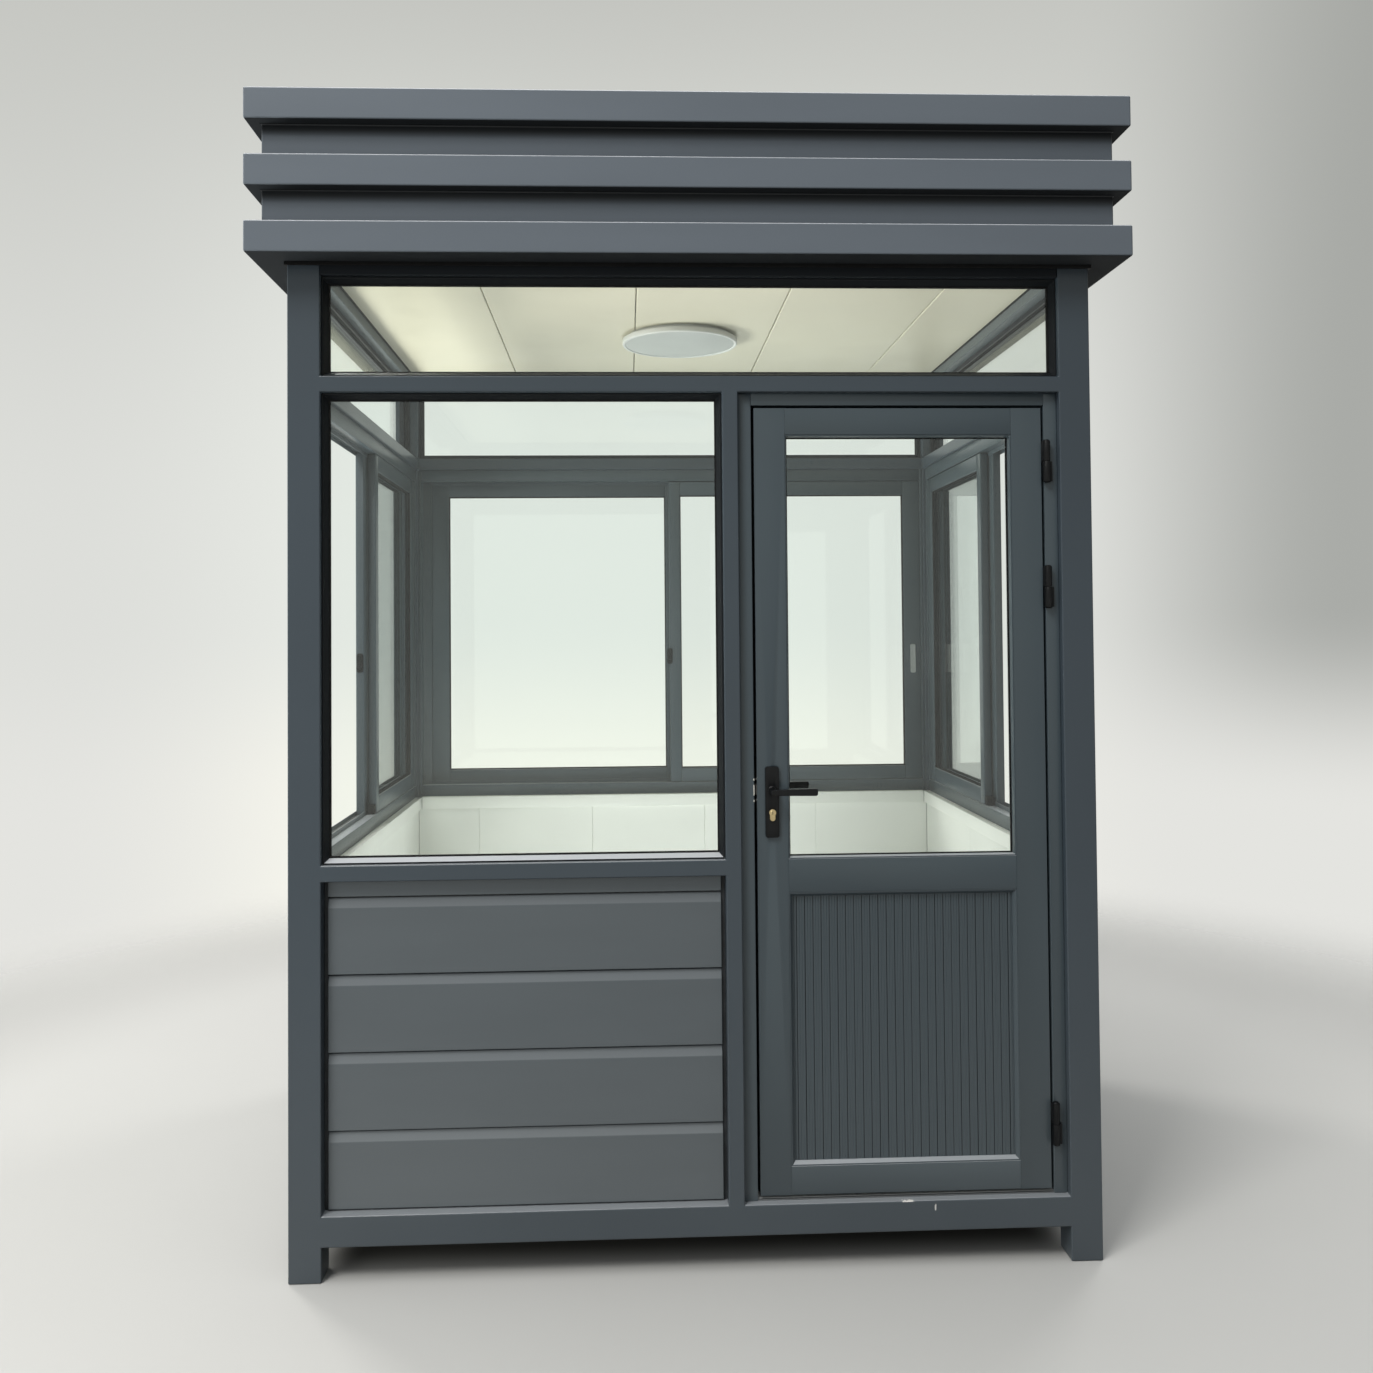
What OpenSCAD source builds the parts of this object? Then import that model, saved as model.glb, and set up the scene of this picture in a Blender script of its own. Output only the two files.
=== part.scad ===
// Guard booth: a steel tube frame on four legs, with board siding below, sliding windows on three
// sides, a glazed front with an aluminium door, and a flat roof behind a banded fascia.
// Millimetres. The origin is on the ground at the middle of the booth, +Z is up, and the door
// faces -Y.

/* [Frame] */
// Width over the corner posts
booth_w = 2000; // [1800:10:2600]
// Depth over the corner posts
booth_d = 1500; // [1300:10:2200]
// Width of the square corner posts
post_w = 80; // [76:2:100]
// Height of the legs under the base rails
leg_h = 85; // [60:5:150]
// Height of the base rails
base_h = 75; // [65:5:100]
// Height of the sill and middle rails, and width of the mullion
rail_h = 40; // [30:5:60]
// Top of the front sill rail above the ground
sill_top = 1005; // [900:5:1100]
// Drop of the side and rear sill rails below the front one
sill_drop = 20; // [0:5:40]
// Top of the middle rails above the ground
mid_top = 2205; // [2150:5:2300]
// Clear height of the lights above the middle rails
transom_h = 249; // [200:1:300]
// Height of the header rails
header_h = 80; // [70:5:100]

/* [Walls and floor] */
// Recess of the siding behind the faces of the posts
siding_recess = 28; // [20:1:34]
// Thickness of the siding
siding_t = 26; // [20:1:30]
// Height of one siding board
board_h = 190; // [150:5:230]
// Height of the sloped upper edge of each board
board_slope_h = 24; // [12:2:40]
// Depth of the step between two boards
board_step = 8; // [4:1:12]
// Thickness of the floor panel
floor_t = 22; // [18:1:30]
// Width of the floor joists
joist_w = 40; // [30:5:60]
// Thickness of the white strip over the inner side of the sill rails
cap_t = 12; // [8:1:18]

/* [Roof and ceiling] */
// Drop of the fascia below the top of the header rails
fascia_drop = 48; // [30:2:60]
// Height of each raised band of the fascia
band_h = 77; // [60:1:90]
// Height of each recess between two bands
recess_h = 84; // [60:1:100]
// Reach of the fascia bands beyond the posts
overhang = 82; // [60:2:120]
// Depth of the recesses behind the bands
recess_depth = 34; // [20:1:45]
// Thickness of the roof deck
deck_t = 60; // [40:5:80]
// Drop of the roof deck below the top of the fascia
deck_drop = 120; // [60:10:160]
// Rise of the ceiling above the underside of the header rails
ceiling_rise = 32; // [20:2:50]
// Thickness of the ceiling panel
ceiling_t = 12; // [8:1:20]

/* [Ceiling lamp] */
// Diameter of the lamp
lamp_d = 355; // [250:5:450]
// Height of the metal base of the lamp
lamp_base_h = 12; // [8:1:20]
// Height of the straight rim of the lamp's diffuser
lamp_rim_h = 12; // [8:1:20]
// Depth of the dome of the lamp's diffuser
lamp_dome_h = 16; // [8:1:40]

/* [Fixed glazing] */
// Thickness of every pane
pane_t = 6; // [4:1:8]
// Recess of the fixed panes behind the faces of the posts
pane_recess = 35; // [25:1:45]
// Width of the glazing beads
bead_w = 14; // [10:1:20]
// Thickness of the glazing beads
bead_t = 10; // [6:1:15]
// Clearance around the edges of the fixed panes
pane_gap = 4; // [2:1:6]

/* [Sliding windows] */
// Face width of the window frames
frame_face = 42; // [30:2:50]
// Face width of the window jambs beside the inner sashes
jamb_lip = 10; // [6:1:20]
// Depth of the window frames
frame_depth = 60; // [58:2:66]
// Thickness of the sashes
sash_t = 25; // [20:1:26]
// Width of the sash stiles
stile_w = 62; // [45:1:70]
// Width of the stiles that meet in the middle
meeting_w = 40; // [34:1:60]
// Height of the sash rails
sash_rail_h = 50; // [40:1:60]
// Depth of the grooves that hold the panes
groove = 8; // [5:1:10]
// Share of its travel by which the front sash of each side window stands open
window_open = 0.94; // [0:0.02:1]
// Height of the sash locks
lock_h = 60; // [40:5:80]
// Height of the sash pull
pull_h = 105; // [80:5:140]

/* [Door] */
// Width of the door leaf
leaf_w = 729; // [650:1:800]
// Thickness of the door leaf
leaf_t = 44; // [40:1:44]
// Recess of the door leaf behind the faces of the posts
leaf_recess = 20; // [18:1:22]
// Gap around the door leaf
leaf_gap = 7; // [7:1:10]
// Face width of the door jambs
jamb_face = 34; // [30:1:40]
// Face height of the door head
head_face = 30; // [25:1:40]
// Width of the stop that the leaf closes against
stop_w = 19; // [12:1:19]
// Thickness of the door stop
stop_t = 10; // [6:1:10]
// Height of the threshold strip
threshold_h = 6; // [4:1:10]
// Width of the door's stiles
door_stile_w = 77; // [72:1:95]
// Height of the door's top rail
door_top_h = 67; // [55:1:90]
// Height of the door's middle rail
door_mid_h = 84; // [60:1:110]
// Height of the door's bottom rail
door_foot_h = 70; // [55:1:110]
// Height of the opening for the door's lower panel
panel_h = 674; // [550:1:750]
// Thickness of the door's lower panel
panel_t = 16; // [12:1:20]

/* [Door hardware] */
// Diameter of the hinge barrels
barrel_d = 19; // [17:1:19]
// Height of each half of a hinge
knuckle_h = 50; // [40:1:60]
// Diameter of the hinge pins
pin_d = 8; // [6:1:10]
// Height of the lever above the bottom of the leaf
lever_rise = 1000; // [900:5:1050]
// Distance of the lever's axis from the edge of the leaf
backset = 37; // [37:1:45]
// Width of the handle plates
plate_w = 34; // [30:1:38]
// Height of the handle plates
plate_h = 176; // [150:2:200]
// Thickness of the handle plates
plate_t = 8; // [6:1:10]
// Length of the lever from its axis to the centre of its round end
lever_len = 98; // [80:1:110]
// Height of the lever's grip
grip_h = 18; // [14:1:20]
// Thickness of the lever's grip
grip_t = 12; // [10:1:16]
// Gap for the fingers between the lever's grip and its plate
finger_gap = 39; // [30:1:45]
// Diameter of the shaft that joins the two levers
shaft_d = 12; // [10:1:14]
// Distance of the lock cylinder below the lever's axis
cylinder_drop = 55; // [50:1:70]

/* [Hidden] */
$fn = 64;

// Colours as the photo shows them
STEEL = [0.31, 0.32, 0.34];
BOARD = [0.34, 0.35, 0.37];
ALLOY = [0.27, 0.28, 0.30];
WHITE = [0.90, 0.89, 0.86];
FLOOR = [0.55, 0.53, 0.50];
CLEAR = [0.75, 0.85, 0.83, 0.35];
BLACK = [0.08, 0.08, 0.09];
SILVER = [0.78, 0.79, 0.80];
BRASS = [0.78, 0.62, 0.30];

// Places of the frame: half sizes, and the levels of the rails
half_w = booth_w / 2;
half_d = booth_d / 2;
in_w = half_w - post_w;
in_d = half_d - post_w;
base_top = leg_h + base_h;
sill_low = sill_top - rail_h;
back_sill_top = sill_top - sill_drop;
back_sill_low = back_sill_top - rail_h;
mid_low = mid_top - rail_h;
header_low = mid_top + transom_h;
header_top = header_low + header_h;
ceiling_z = header_low + ceiling_rise;
cut = 1;

// Turn that carries the front wall's layout to each of the other walls
REAR = 180;
LEFT = -90;
RIGHT = 90;
SECTION_TURN = [90, 0, 90];

// Levels of the fascia
fascia_low = header_top - fascia_drop;
band_pitch = band_h + recess_h;
fascia_top = fascia_low + 2 * band_pitch + band_h;
recess_reach = overhang - recess_depth;

// Width of the lamp's base as a share of the lamp
lamp_base_share = 0.9;

// Places of the sliding windows, from the outer face of the posts inwards
frame_out = (post_w - frame_depth) / 2;
track_gap = (frame_depth - 2 * sash_t) / 3;
outer_sash = frame_out + track_gap;
inner_sash = outer_sash + sash_t + track_gap;
sash_low = back_sill_top + frame_face;
sash_split = outer_sash + sash_t + track_gap / 2;
sash_slack = 2;
sash_top = mid_low - frame_face - sash_slack;
pane_inset = (sash_t - pane_t) / 2;
meeting_lap = 14;
meeting_edge = meeting_w - meeting_lap;
side_slide = window_open * (in_d - frame_face - meeting_lap);
lock_w = 22;
lock_t = 12;
pull_w = 19;
pull_t = 5;
hardware_share = 0.403;
lock_rise = 16;
hardware_z = sash_low + hardware_share * (sash_top - sash_low);

// Places of the doorway and the leaf
jamb_depth = post_w - leaf_recess;
jamb_right = in_w - jamb_face;
leaf_right = jamb_right - leaf_gap;
leaf_left = leaf_right - leaf_w;
jamb_left = leaf_left - leaf_gap;
door_left = jamb_left - jamb_face;
mullion_left = door_left - rail_h;
leaf_low = base_top + threshold_h + leaf_gap;
leaf_top = mid_low - head_face - leaf_gap;
leaf_front = -half_d + leaf_recess;
leaf_back = leaf_front + leaf_t;
leaf_mid = leaf_front + leaf_t / 2;
panel_low = leaf_low + door_foot_h;
panel_top = panel_low + panel_h;
light_low = panel_top + door_mid_h;
light_top = leaf_top - door_top_h;
light_left = leaf_left + door_stile_w;
light_right = leaf_right - door_stile_w;
threshold_inset = 2;

// Places of the hinges; the axis stands in front of the gap beside the right jamb
hinge_shares = [0.083, 0.768, 0.930];
hinge_offset = 3;
barrel_gap = 1;
hinge_x = jamb_right + hinge_offset;
hinge_y = leaf_front - barrel_d / 2 - barrel_gap;
hinge_tab_t = 3;
hinge_tab_depth = 30;
hinge_plate_w = 18;
knuckle_gap = 1;
run_gap = 0.08;

// Places of the handle and the lock
lever_x = leaf_left + backset;
lever_z = leaf_low + lever_rise;
plate_rise = plate_h / 3;
plate_r = 6;
lever_slack = 0.5;
shaft_slack = 2;
shaft_hole_d = shaft_d + 2 * shaft_slack;
cylinder_d = 17;
cylinder_h = 29;
cylinder_foot_d = 13;
cylinder_foot = cylinder_h - (cylinder_d + cylinder_foot_d) / 2;
cylinder_proud = 6;
cylinder_z = lever_z - cylinder_drop;

// Box between two corners
module block(low, high) {
    translate(low) cube(high - low);
}

// Moves what is laid out against the front wall to another wall: x runs along the wall, y is the
// depth behind the outer faces of the posts
module on_wall(turn, reach) {
    rotate([0, 0, turn]) translate([0, -reach, 0]) children();
}

// Extrudes an outline of depth and height along the wall
module along_wall(start, end) {
    translate([start, 0, 0]) rotate(SECTION_TURN) linear_extrude(end - start) children();
}

// One rail of rectangular tube along a wall
module rail(start, end, low, high) {
    block([start, 0, low], [end, post_w, high]);
}

// Rails of the sides and the rear at one level
module back_rails(low, high) {
    on_wall(REAR, half_d) rail(-in_w, in_w, low, high);
    on_wall(LEFT, half_w) rail(-in_d, in_d, low, high);
    on_wall(RIGHT, half_w) rail(-in_d, in_d, low, high);
}

// Section of the board siding: each board steps out over the sloped edge of the one below it
module siding_section(low, high) {
    boards = floor((high - low - board_slope_h) / board_h);
    steps = [for (k = [0:boards - 1]) each [
        [siding_recess, low + k * board_h],
        [siding_recess, low + (k + 1) * board_h - board_slope_h],
        [siding_recess + board_step, low + (k + 1) * board_h]
    ]];
    polygon(concat(steps, [
        [siding_recess, low + boards * board_h],
        [siding_recess, high],
        [siding_recess + siding_t, high],
        [siding_recess + siding_t, low]
    ]));
}

module siding(start, end, high) {
    color(BOARD) along_wall(start, end) siding_section(base_top, high);
}

module lining(start, end, high) {
    block([start, siding_recess + siding_t, base_top], [end, post_w, high]);
}

// One length of fascia with mitred ends
module fascia(half_span) {
    bands = [for (k = [0:2]) each [
        [-overhang, fascia_low + k * band_pitch],
        [-overhang, fascia_low + k * band_pitch + band_h],
        if (k < 2) [-recess_reach, fascia_low + k * band_pitch + band_h],
        if (k < 2) [-recess_reach, fascia_low + (k + 1) * band_pitch]
    ]];
    outer = half_span + overhang;
    color(STEEL) intersection() {
        along_wall(-outer, outer)
            polygon(concat([[0, fascia_low]], bands, [[0, fascia_top]]));
        translate([0, 0, fascia_low - cut])
            linear_extrude(fascia_top - fascia_low + 2 * cut)
                polygon([[-half_span, 0], [-outer, -overhang], [outer, -overhang], [half_span, 0]]);
    }
}

// Ring of glazing bead that lines an opening of a wall
module bead_ring(start, end, low, high, depth) {
    difference() {
        block([start, depth, low], [end, depth + bead_t, high]);
        block([start + bead_w, depth - cut, low + bead_w],
              [end - bead_w, depth + bead_t + cut, high - bead_w]);
    }
}

// The outer and the inner bead of a fixed pane
module bead_pair(start, end, low, high) {
    bead_ring(start, end, low, high, pane_recess - bead_t);
    bead_ring(start, end, low, high, pane_recess + pane_t);
}

module fixed_pane(start, end, low, high) {
    block([start + pane_gap, pane_recess, low + pane_gap],
          [end - pane_gap, pane_recess + pane_t, high - pane_gap]);
}

// Puts the same thing on the rear, the left and the right wall; the child takes its half span
// from $span, the side of its inner sash from $hand and the slide of its outer sash from $slide
module on_back_walls() {
    on_wall(REAR, half_d) let($span = in_w, $hand = -1, $slide = 0) children();
    on_wall(LEFT, half_w) let($span = in_d, $hand = -1, $slide = side_slide) children();
    on_wall(RIGHT, half_w) let($span = in_d, $hand = 1, $slide = side_slide) children();
}

// Puts a sash part on the inner sash and, turned end for end along the wall, on the outer one,
// which slides towards the inner one; the child takes the far edge of its sash from $edge
module on_sashes() {
    mirror([$hand < 0 ? 1 : 0, 0, 0]) {
        translate([0, inner_sash, 0]) let($edge = $span - jamb_lip) children();
        translate([$slide, outer_sash, 0]) mirror([1, 0, 0])
            let($edge = $span - frame_face) children();
    }
}

// Room for a pane or its groove in a sash, between two corners along the wall and in height
module groove_cut(low, high) {
    block([low[0], pane_inset, low[1]], [high[0], pane_inset + pane_t, high[1]]);
}

module sash_uprights() {
    end = $edge - stile_w;
    difference() {
        block([-meeting_lap, 0, sash_low], [meeting_edge, sash_t, sash_top]);
        groove_cut([meeting_edge - groove, sash_low + sash_rail_h - groove],
                   [meeting_edge + cut, sash_top - sash_rail_h + groove]);
    }
    difference() {
        block([end, 0, sash_low], [$edge, sash_t, sash_top]);
        groove_cut([end - cut, sash_low + sash_rail_h - groove],
                   [end + groove, sash_top - sash_rail_h + groove]);
    }
}

module sash_crossbars() {
    end = $edge - stile_w;
    difference() {
        block([meeting_edge, 0, sash_low], [end, sash_t, sash_low + sash_rail_h]);
        groove_cut([meeting_edge - cut, sash_low + sash_rail_h - groove],
                   [end + cut, sash_low + sash_rail_h + cut]);
    }
    difference() {
        block([meeting_edge, 0, sash_top - sash_rail_h], [end, sash_t, sash_top]);
        groove_cut([meeting_edge - cut, sash_top - sash_rail_h - cut],
                   [end + cut, sash_top - sash_rail_h + groove]);
    }
}

module sash_pane() {
    groove_cut([meeting_edge - groove, sash_low + sash_rail_h - groove],
               [$edge - stile_w + groove, sash_top - sash_rail_h + groove]);
}

// Steel frame

module corner_posts() {
    color(STEEL) for (x = [-half_w, in_w], y = [-half_d, in_d])
        block([x, y, 0], [x + post_w, y + post_w, header_top]);
}

module base_rails() {
    color(STEEL) {
        on_wall(0, half_d) rail(-in_w, in_w, leg_h, base_top);
        back_rails(leg_h, base_top);
    }
}

module sill_rails() {
    color(STEEL) {
        on_wall(0, half_d) rail(-in_w, mullion_left, sill_low, sill_top);
        back_rails(back_sill_low, back_sill_top);
    }
}

module mid_rails() {
    color(STEEL) {
        on_wall(0, half_d) rail(-in_w, in_w, mid_low, mid_top);
        back_rails(mid_low, mid_top);
    }
}

module header_rails() {
    color(STEEL) {
        on_wall(0, half_d) rail(-in_w, in_w, header_low, header_top);
        back_rails(header_low, header_top);
    }
}

module door_mullion() {
    color(STEEL) on_wall(0, half_d) rail(mullion_left, door_left, base_top, mid_low);
}

// Floor and walls

module floor_joists() {
    color(STEEL) for (k = [-1:1])
        translate([k * in_w / 2, 0, 0])
            block([-joist_w / 2, -in_d, base_top - floor_t - joist_w],
                  [joist_w / 2, in_d, base_top - floor_t]);
}

module floor_panel() {
    color(FLOOR) block([-in_w, -in_d, base_top - floor_t], [in_w, in_d, base_top]);
}

module front_siding() {
    on_wall(0, half_d) siding(-in_w, mullion_left, sill_low);
}

module rear_siding() {
    on_wall(REAR, half_d) siding(-in_w, in_w, back_sill_low);
}

module left_siding() {
    on_wall(LEFT, half_w) siding(-in_d, in_d, back_sill_low);
}

module right_siding() {
    on_wall(RIGHT, half_w) siding(-in_d, in_d, back_sill_low);
}

module wall_linings() {
    color(WHITE) {
        on_wall(0, half_d) lining(-in_w, mullion_left, sill_low);
        on_back_walls() lining(-$span, $span, back_sill_low);
    }
}

module lining_caps() {
    color(WHITE) {
        on_wall(0, half_d) block([-in_w + cap_t + cut, post_w, sill_low],
                                 [mullion_left, post_w + cap_t, sill_top]);
        on_back_walls() block([-$span + cap_t + cut, post_w, back_sill_low],
                              [$span - cap_t - cut, post_w + cap_t, back_sill_top]);
    }
}

module ceiling_panel() {
    color(WHITE) block([-in_w, -in_d, ceiling_z], [in_w, in_d, ceiling_z + ceiling_t]);
}

module lamp_base() {
    color(SILVER) translate([0, 0, ceiling_z - lamp_base_h])
        cylinder(d = lamp_base_share * lamp_d, h = lamp_base_h);
}

module lamp_diffuser() {
    rim_z = ceiling_z - lamp_base_h;
    rim_r = lamp_d / 2;
    dome_r = (rim_r * rim_r + lamp_dome_h * lamp_dome_h) / (2 * lamp_dome_h);
    dome_low = rim_z - lamp_rim_h - lamp_dome_h;
    color(WHITE) intersection() {
        translate([0, 0, dome_low]) cylinder(r = rim_r, h = lamp_rim_h + lamp_dome_h);
        translate([0, 0, dome_low + dome_r]) sphere(r = dome_r);
    }
}

// Roof

module front_fascia() {
    on_wall(0, half_d) fascia(half_w);
}

module rear_fascia() {
    on_wall(REAR, half_d) fascia(half_w);
}

module left_fascia() {
    on_wall(LEFT, half_w) fascia(half_d);
}

module right_fascia() {
    on_wall(RIGHT, half_w) fascia(half_d);
}

module roof_deck() {
    color(STEEL) block([-half_w, -half_d, fascia_top - deck_drop - deck_t],
                       [half_w, half_d, fascia_top - deck_drop]);
}

// Fixed glazing

module transom_beads() {
    color(STEEL) {
        on_wall(0, half_d) bead_pair(-in_w, in_w, mid_top, header_low);
        on_back_walls() bead_pair(-$span, $span, mid_top, header_low);
    }
}

module transom_panes() {
    color(CLEAR) {
        on_wall(0, half_d) fixed_pane(-in_w, in_w, mid_top, header_low);
        on_back_walls() fixed_pane(-$span, $span, mid_top, header_low);
    }
}

module front_window_beads() {
    color(STEEL) on_wall(0, half_d) bead_pair(-in_w, mullion_left, sill_top, mid_low);
}

module front_window_pane() {
    color(CLEAR) on_wall(0, half_d) fixed_pane(-in_w, mullion_left, sill_top, mid_low);
}

// Sliding windows

// Each jamb is wide beside the outer sash and narrow beside the inner one
module window_jambs() {
    color(ALLOY) on_back_walls() for (side = [0, 1]) mirror([side, 0, 0]) {
        block([$span - frame_face, frame_out, back_sill_top], [$span, sash_split, mid_low]);
        block([$span - jamb_lip, frame_out, back_sill_top],
              [$span, frame_out + frame_depth, mid_low]);
    }
}

module window_tracks() {
    color(ALLOY) on_back_walls() for (low = [back_sill_top, mid_low - frame_face]) {
        block([-$span + frame_face, frame_out, low],
              [$span - frame_face, frame_out + frame_depth, low + frame_face]);
        block([-$span + jamb_lip, sash_split, low],
              [$span - jamb_lip, frame_out + frame_depth, low + frame_face]);
    }
}

module sash_stiles() {
    color(ALLOY) on_back_walls() on_sashes() sash_uprights();
}

module sash_rails() {
    color(ALLOY) on_back_walls() on_sashes() sash_crossbars();
}

module sash_panes() {
    color(CLEAR) on_back_walls() on_sashes() sash_pane();
}

// One lock on the free edge of the rear wall's inner sash, one on the leading end of the left
// wall's open sash
module window_locks() {
    color(BLACK) {
        on_wall(REAR, half_d) translate([meeting_lap, inner_sash + sash_t, hardware_z + lock_rise])
            block([-lock_w / 2, 0, -lock_h / 2], [lock_w / 2, lock_t, lock_h / 2]);
        on_wall(LEFT, half_w)
            translate([in_d - frame_face - side_slide, outer_sash + sash_t / 2, hardware_z + lock_rise])
                block([0, -lock_w / 2, -lock_h / 2], [lock_t, lock_w / 2, lock_h / 2]);
    }
}

module window_pull() {
    color(SILVER) on_wall(REAR, half_d)
        translate([stile_w / 2 + jamb_lip - in_w, inner_sash + sash_t, hardware_z])
            block([-pull_w / 2, 0, -pull_h / 2], [pull_w / 2, pull_t, pull_h / 2]);
}

// Doorway

module door_jambs() {
    color(ALLOY) on_wall(0, half_d) {
        block([door_left, leaf_recess, base_top], [jamb_left, post_w, mid_low]);
        block([jamb_left - cut, post_w - stop_t, base_top], [jamb_left + stop_w, post_w, mid_low]);
        block([jamb_right, leaf_recess, base_top], [in_w, post_w, mid_low]);
        block([jamb_right - stop_w, post_w - stop_t, base_top], [jamb_right + cut, post_w, mid_low]);
    }
}

module door_head() {
    color(ALLOY) on_wall(0, half_d) {
        block([jamb_left, leaf_recess, mid_low - head_face], [jamb_right, post_w - stop_t, mid_low]);
        block([jamb_left + stop_w, post_w - stop_t - cut, mid_low - head_face - stop_w],
              [jamb_right - stop_w, post_w, mid_low]);
    }
}

module door_threshold() {
    color(ALLOY) on_wall(0, half_d)
        block([jamb_left, leaf_recess + threshold_inset, base_top],
              [jamb_right, post_w - stop_t - threshold_inset, base_top + threshold_h]);
}

// Lower half of each hinge, on the jamb, with the pin that the upper half turns on
module hinge_pins() {
    color(BLACK) for (share = hinge_shares)
        translate([hinge_x, hinge_y, leaf_low + share * (leaf_top - leaf_low) - knuckle_h]) {
            cylinder(d = barrel_d, h = knuckle_h);
            cylinder(d = pin_d, h = 2 * knuckle_h - barrel_d / 2);
            block([jamb_right - hinge_x, 0, 0],
                  [jamb_right - hinge_x + hinge_plate_w, leaf_front - hinge_y, knuckle_h]);
        }
}

// Door leaf

module stile_bores() {
    translate([lever_x, leaf_front - cut, lever_z]) rotate([-90, 0, 0])
        cylinder(d = shaft_hole_d, h = leaf_t + 2 * cut);
    cylinder_shape(leaf_front - cut, leaf_back + cut);
}

module door_stiles() {
    color(ALLOY) difference() {
        union() {
            block([leaf_left, leaf_front, leaf_low], [light_left, leaf_back, leaf_top]);
            block([light_right, leaf_front, leaf_low], [leaf_right, leaf_back, leaf_top]);
        }
        door_pane_shape();
        door_panel_shape();
        stile_bores();
    }
}

module door_rails() {
    color(ALLOY) difference() {
        for (level = [[leaf_low, panel_low], [panel_top, light_low], [light_top, leaf_top]])
            block([light_left, leaf_front, level[0]], [light_right, leaf_back, level[1]]);
        door_pane_shape();
        door_panel_shape();
    }
}

module door_pane_shape() {
    block([light_left - groove, leaf_mid - pane_t / 2, light_low - groove],
          [light_right + groove, leaf_mid + pane_t / 2, light_top + groove]);
}

module door_panel_shape() {
    block([light_left - groove, leaf_mid - panel_t / 2, panel_low - groove],
          [light_right + groove, leaf_mid + panel_t / 2, panel_top + groove]);
}

module door_pane() {
    color(CLEAR) door_pane_shape();
}

module door_panel() {
    color(BOARD) door_panel_shape();
}

// Upper half of each hinge, on the edge of the leaf, bored for the pin
module hinge_sleeves() {
    color(BLACK) for (share = hinge_shares)
        translate([hinge_x, hinge_y, leaf_low + share * (leaf_top - leaf_low) + knuckle_gap])
            difference() {
                union() {
                    cylinder(d = barrel_d, h = knuckle_h);
                    block([leaf_right - hinge_x, 0, 0],
                          [leaf_right - hinge_x + hinge_tab_t, hinge_tab_depth, knuckle_h]);
                }
                translate([0, 0, -cut]) cylinder(d = pin_d + 2 * run_gap, h = knuckle_h + 2 * cut);
            }
}

// Lock cylinder's outline, a round head over a narrower round foot, swept through the leaf
module cylinder_shape(start, end) {
    translate([lever_x, end, cylinder_z]) rotate([90, 0, 0]) linear_extrude(end - start) {
        circle(d = cylinder_d);
        translate([0, -cylinder_foot]) circle(d = cylinder_foot_d);
        translate([-cylinder_foot_d / 2, -cylinder_foot]) square([cylinder_foot_d, cylinder_foot]);
    }
}

module handle_plate(start) {
    difference() {
        translate([lever_x, start + plate_t, lever_z + plate_rise - plate_h / 2]) rotate([90, 0, 0])
            linear_extrude(plate_t) {
                square([plate_w - 2 * plate_r, plate_h], center = true);
                square([plate_w, plate_h - 2 * plate_r], center = true);
                for (x = [-1, 1], z = [-1, 1])
                    translate([x * (plate_w / 2 - plate_r), z * (plate_h / 2 - plate_r)]) circle(r = plate_r);
            }
        translate([lever_x, start - cut, lever_z]) rotate([-90, 0, 0])
            cylinder(d = shaft_d + 2 * run_gap, h = plate_t + 2 * cut);
        cylinder_shape(start - cut, start + plate_t + cut);
    }
}

module handle_plates() {
    color(BLACK) {
        handle_plate(leaf_front - plate_t);
        handle_plate(leaf_back);
    }
}

module lock_cylinder() {
    color(BRASS) cylinder_shape(leaf_front - plate_t - cylinder_proud,
                                leaf_back + plate_t + cylinder_proud);
}

// One lever with its neck, laid out from the face of its plate outwards along +Z
module lever_arm() {
    translate([0, 0, lever_slack]) cylinder(d = grip_h, h = finger_gap + grip_t / 2);
    translate([0, 0, finger_gap]) linear_extrude(grip_t) {
        circle(d = grip_h);
        translate([lever_len, 0]) circle(d = grip_h);
        translate([0, -grip_h / 2]) square([lever_len, grip_h]);
    }
}

module door_lever() {
    color(BLACK) {
        translate([lever_x, leaf_front - plate_t, lever_z]) rotate([90, 0, 0]) lever_arm();
        translate([lever_x, leaf_back + plate_t, lever_z]) mirror([0, 1, 0])
            rotate([90, 0, 0]) lever_arm();
        translate([lever_x, leaf_front - plate_t - finger_gap, lever_z]) rotate([-90, 0, 0])
            cylinder(d = shaft_d, h = leaf_t + 2 * plate_t + 2 * finger_gap);
    }
}

corner_posts();
base_rails();
sill_rails();
mid_rails();
header_rails();
door_mullion();
floor_joists();
floor_panel();
front_siding();
rear_siding();
left_siding();
right_siding();
wall_linings();
lining_caps();
ceiling_panel();
lamp_base();
lamp_diffuser();
front_fascia();
rear_fascia();
left_fascia();
right_fascia();
roof_deck();
transom_beads();
transom_panes();
front_window_beads();
front_window_pane();
window_jambs();
window_tracks();
sash_stiles();
sash_rails();
sash_panes();
window_locks();
window_pull();
door_jambs();
door_head();
door_threshold();
hinge_pins();
door_stiles();
door_rails();
door_pane();
door_panel();
hinge_sleeves();
handle_plates();
lock_cylinder();
door_lever();
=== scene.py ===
import math

import bmesh
import bpy
from mathutils import Matrix, Vector


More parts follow.
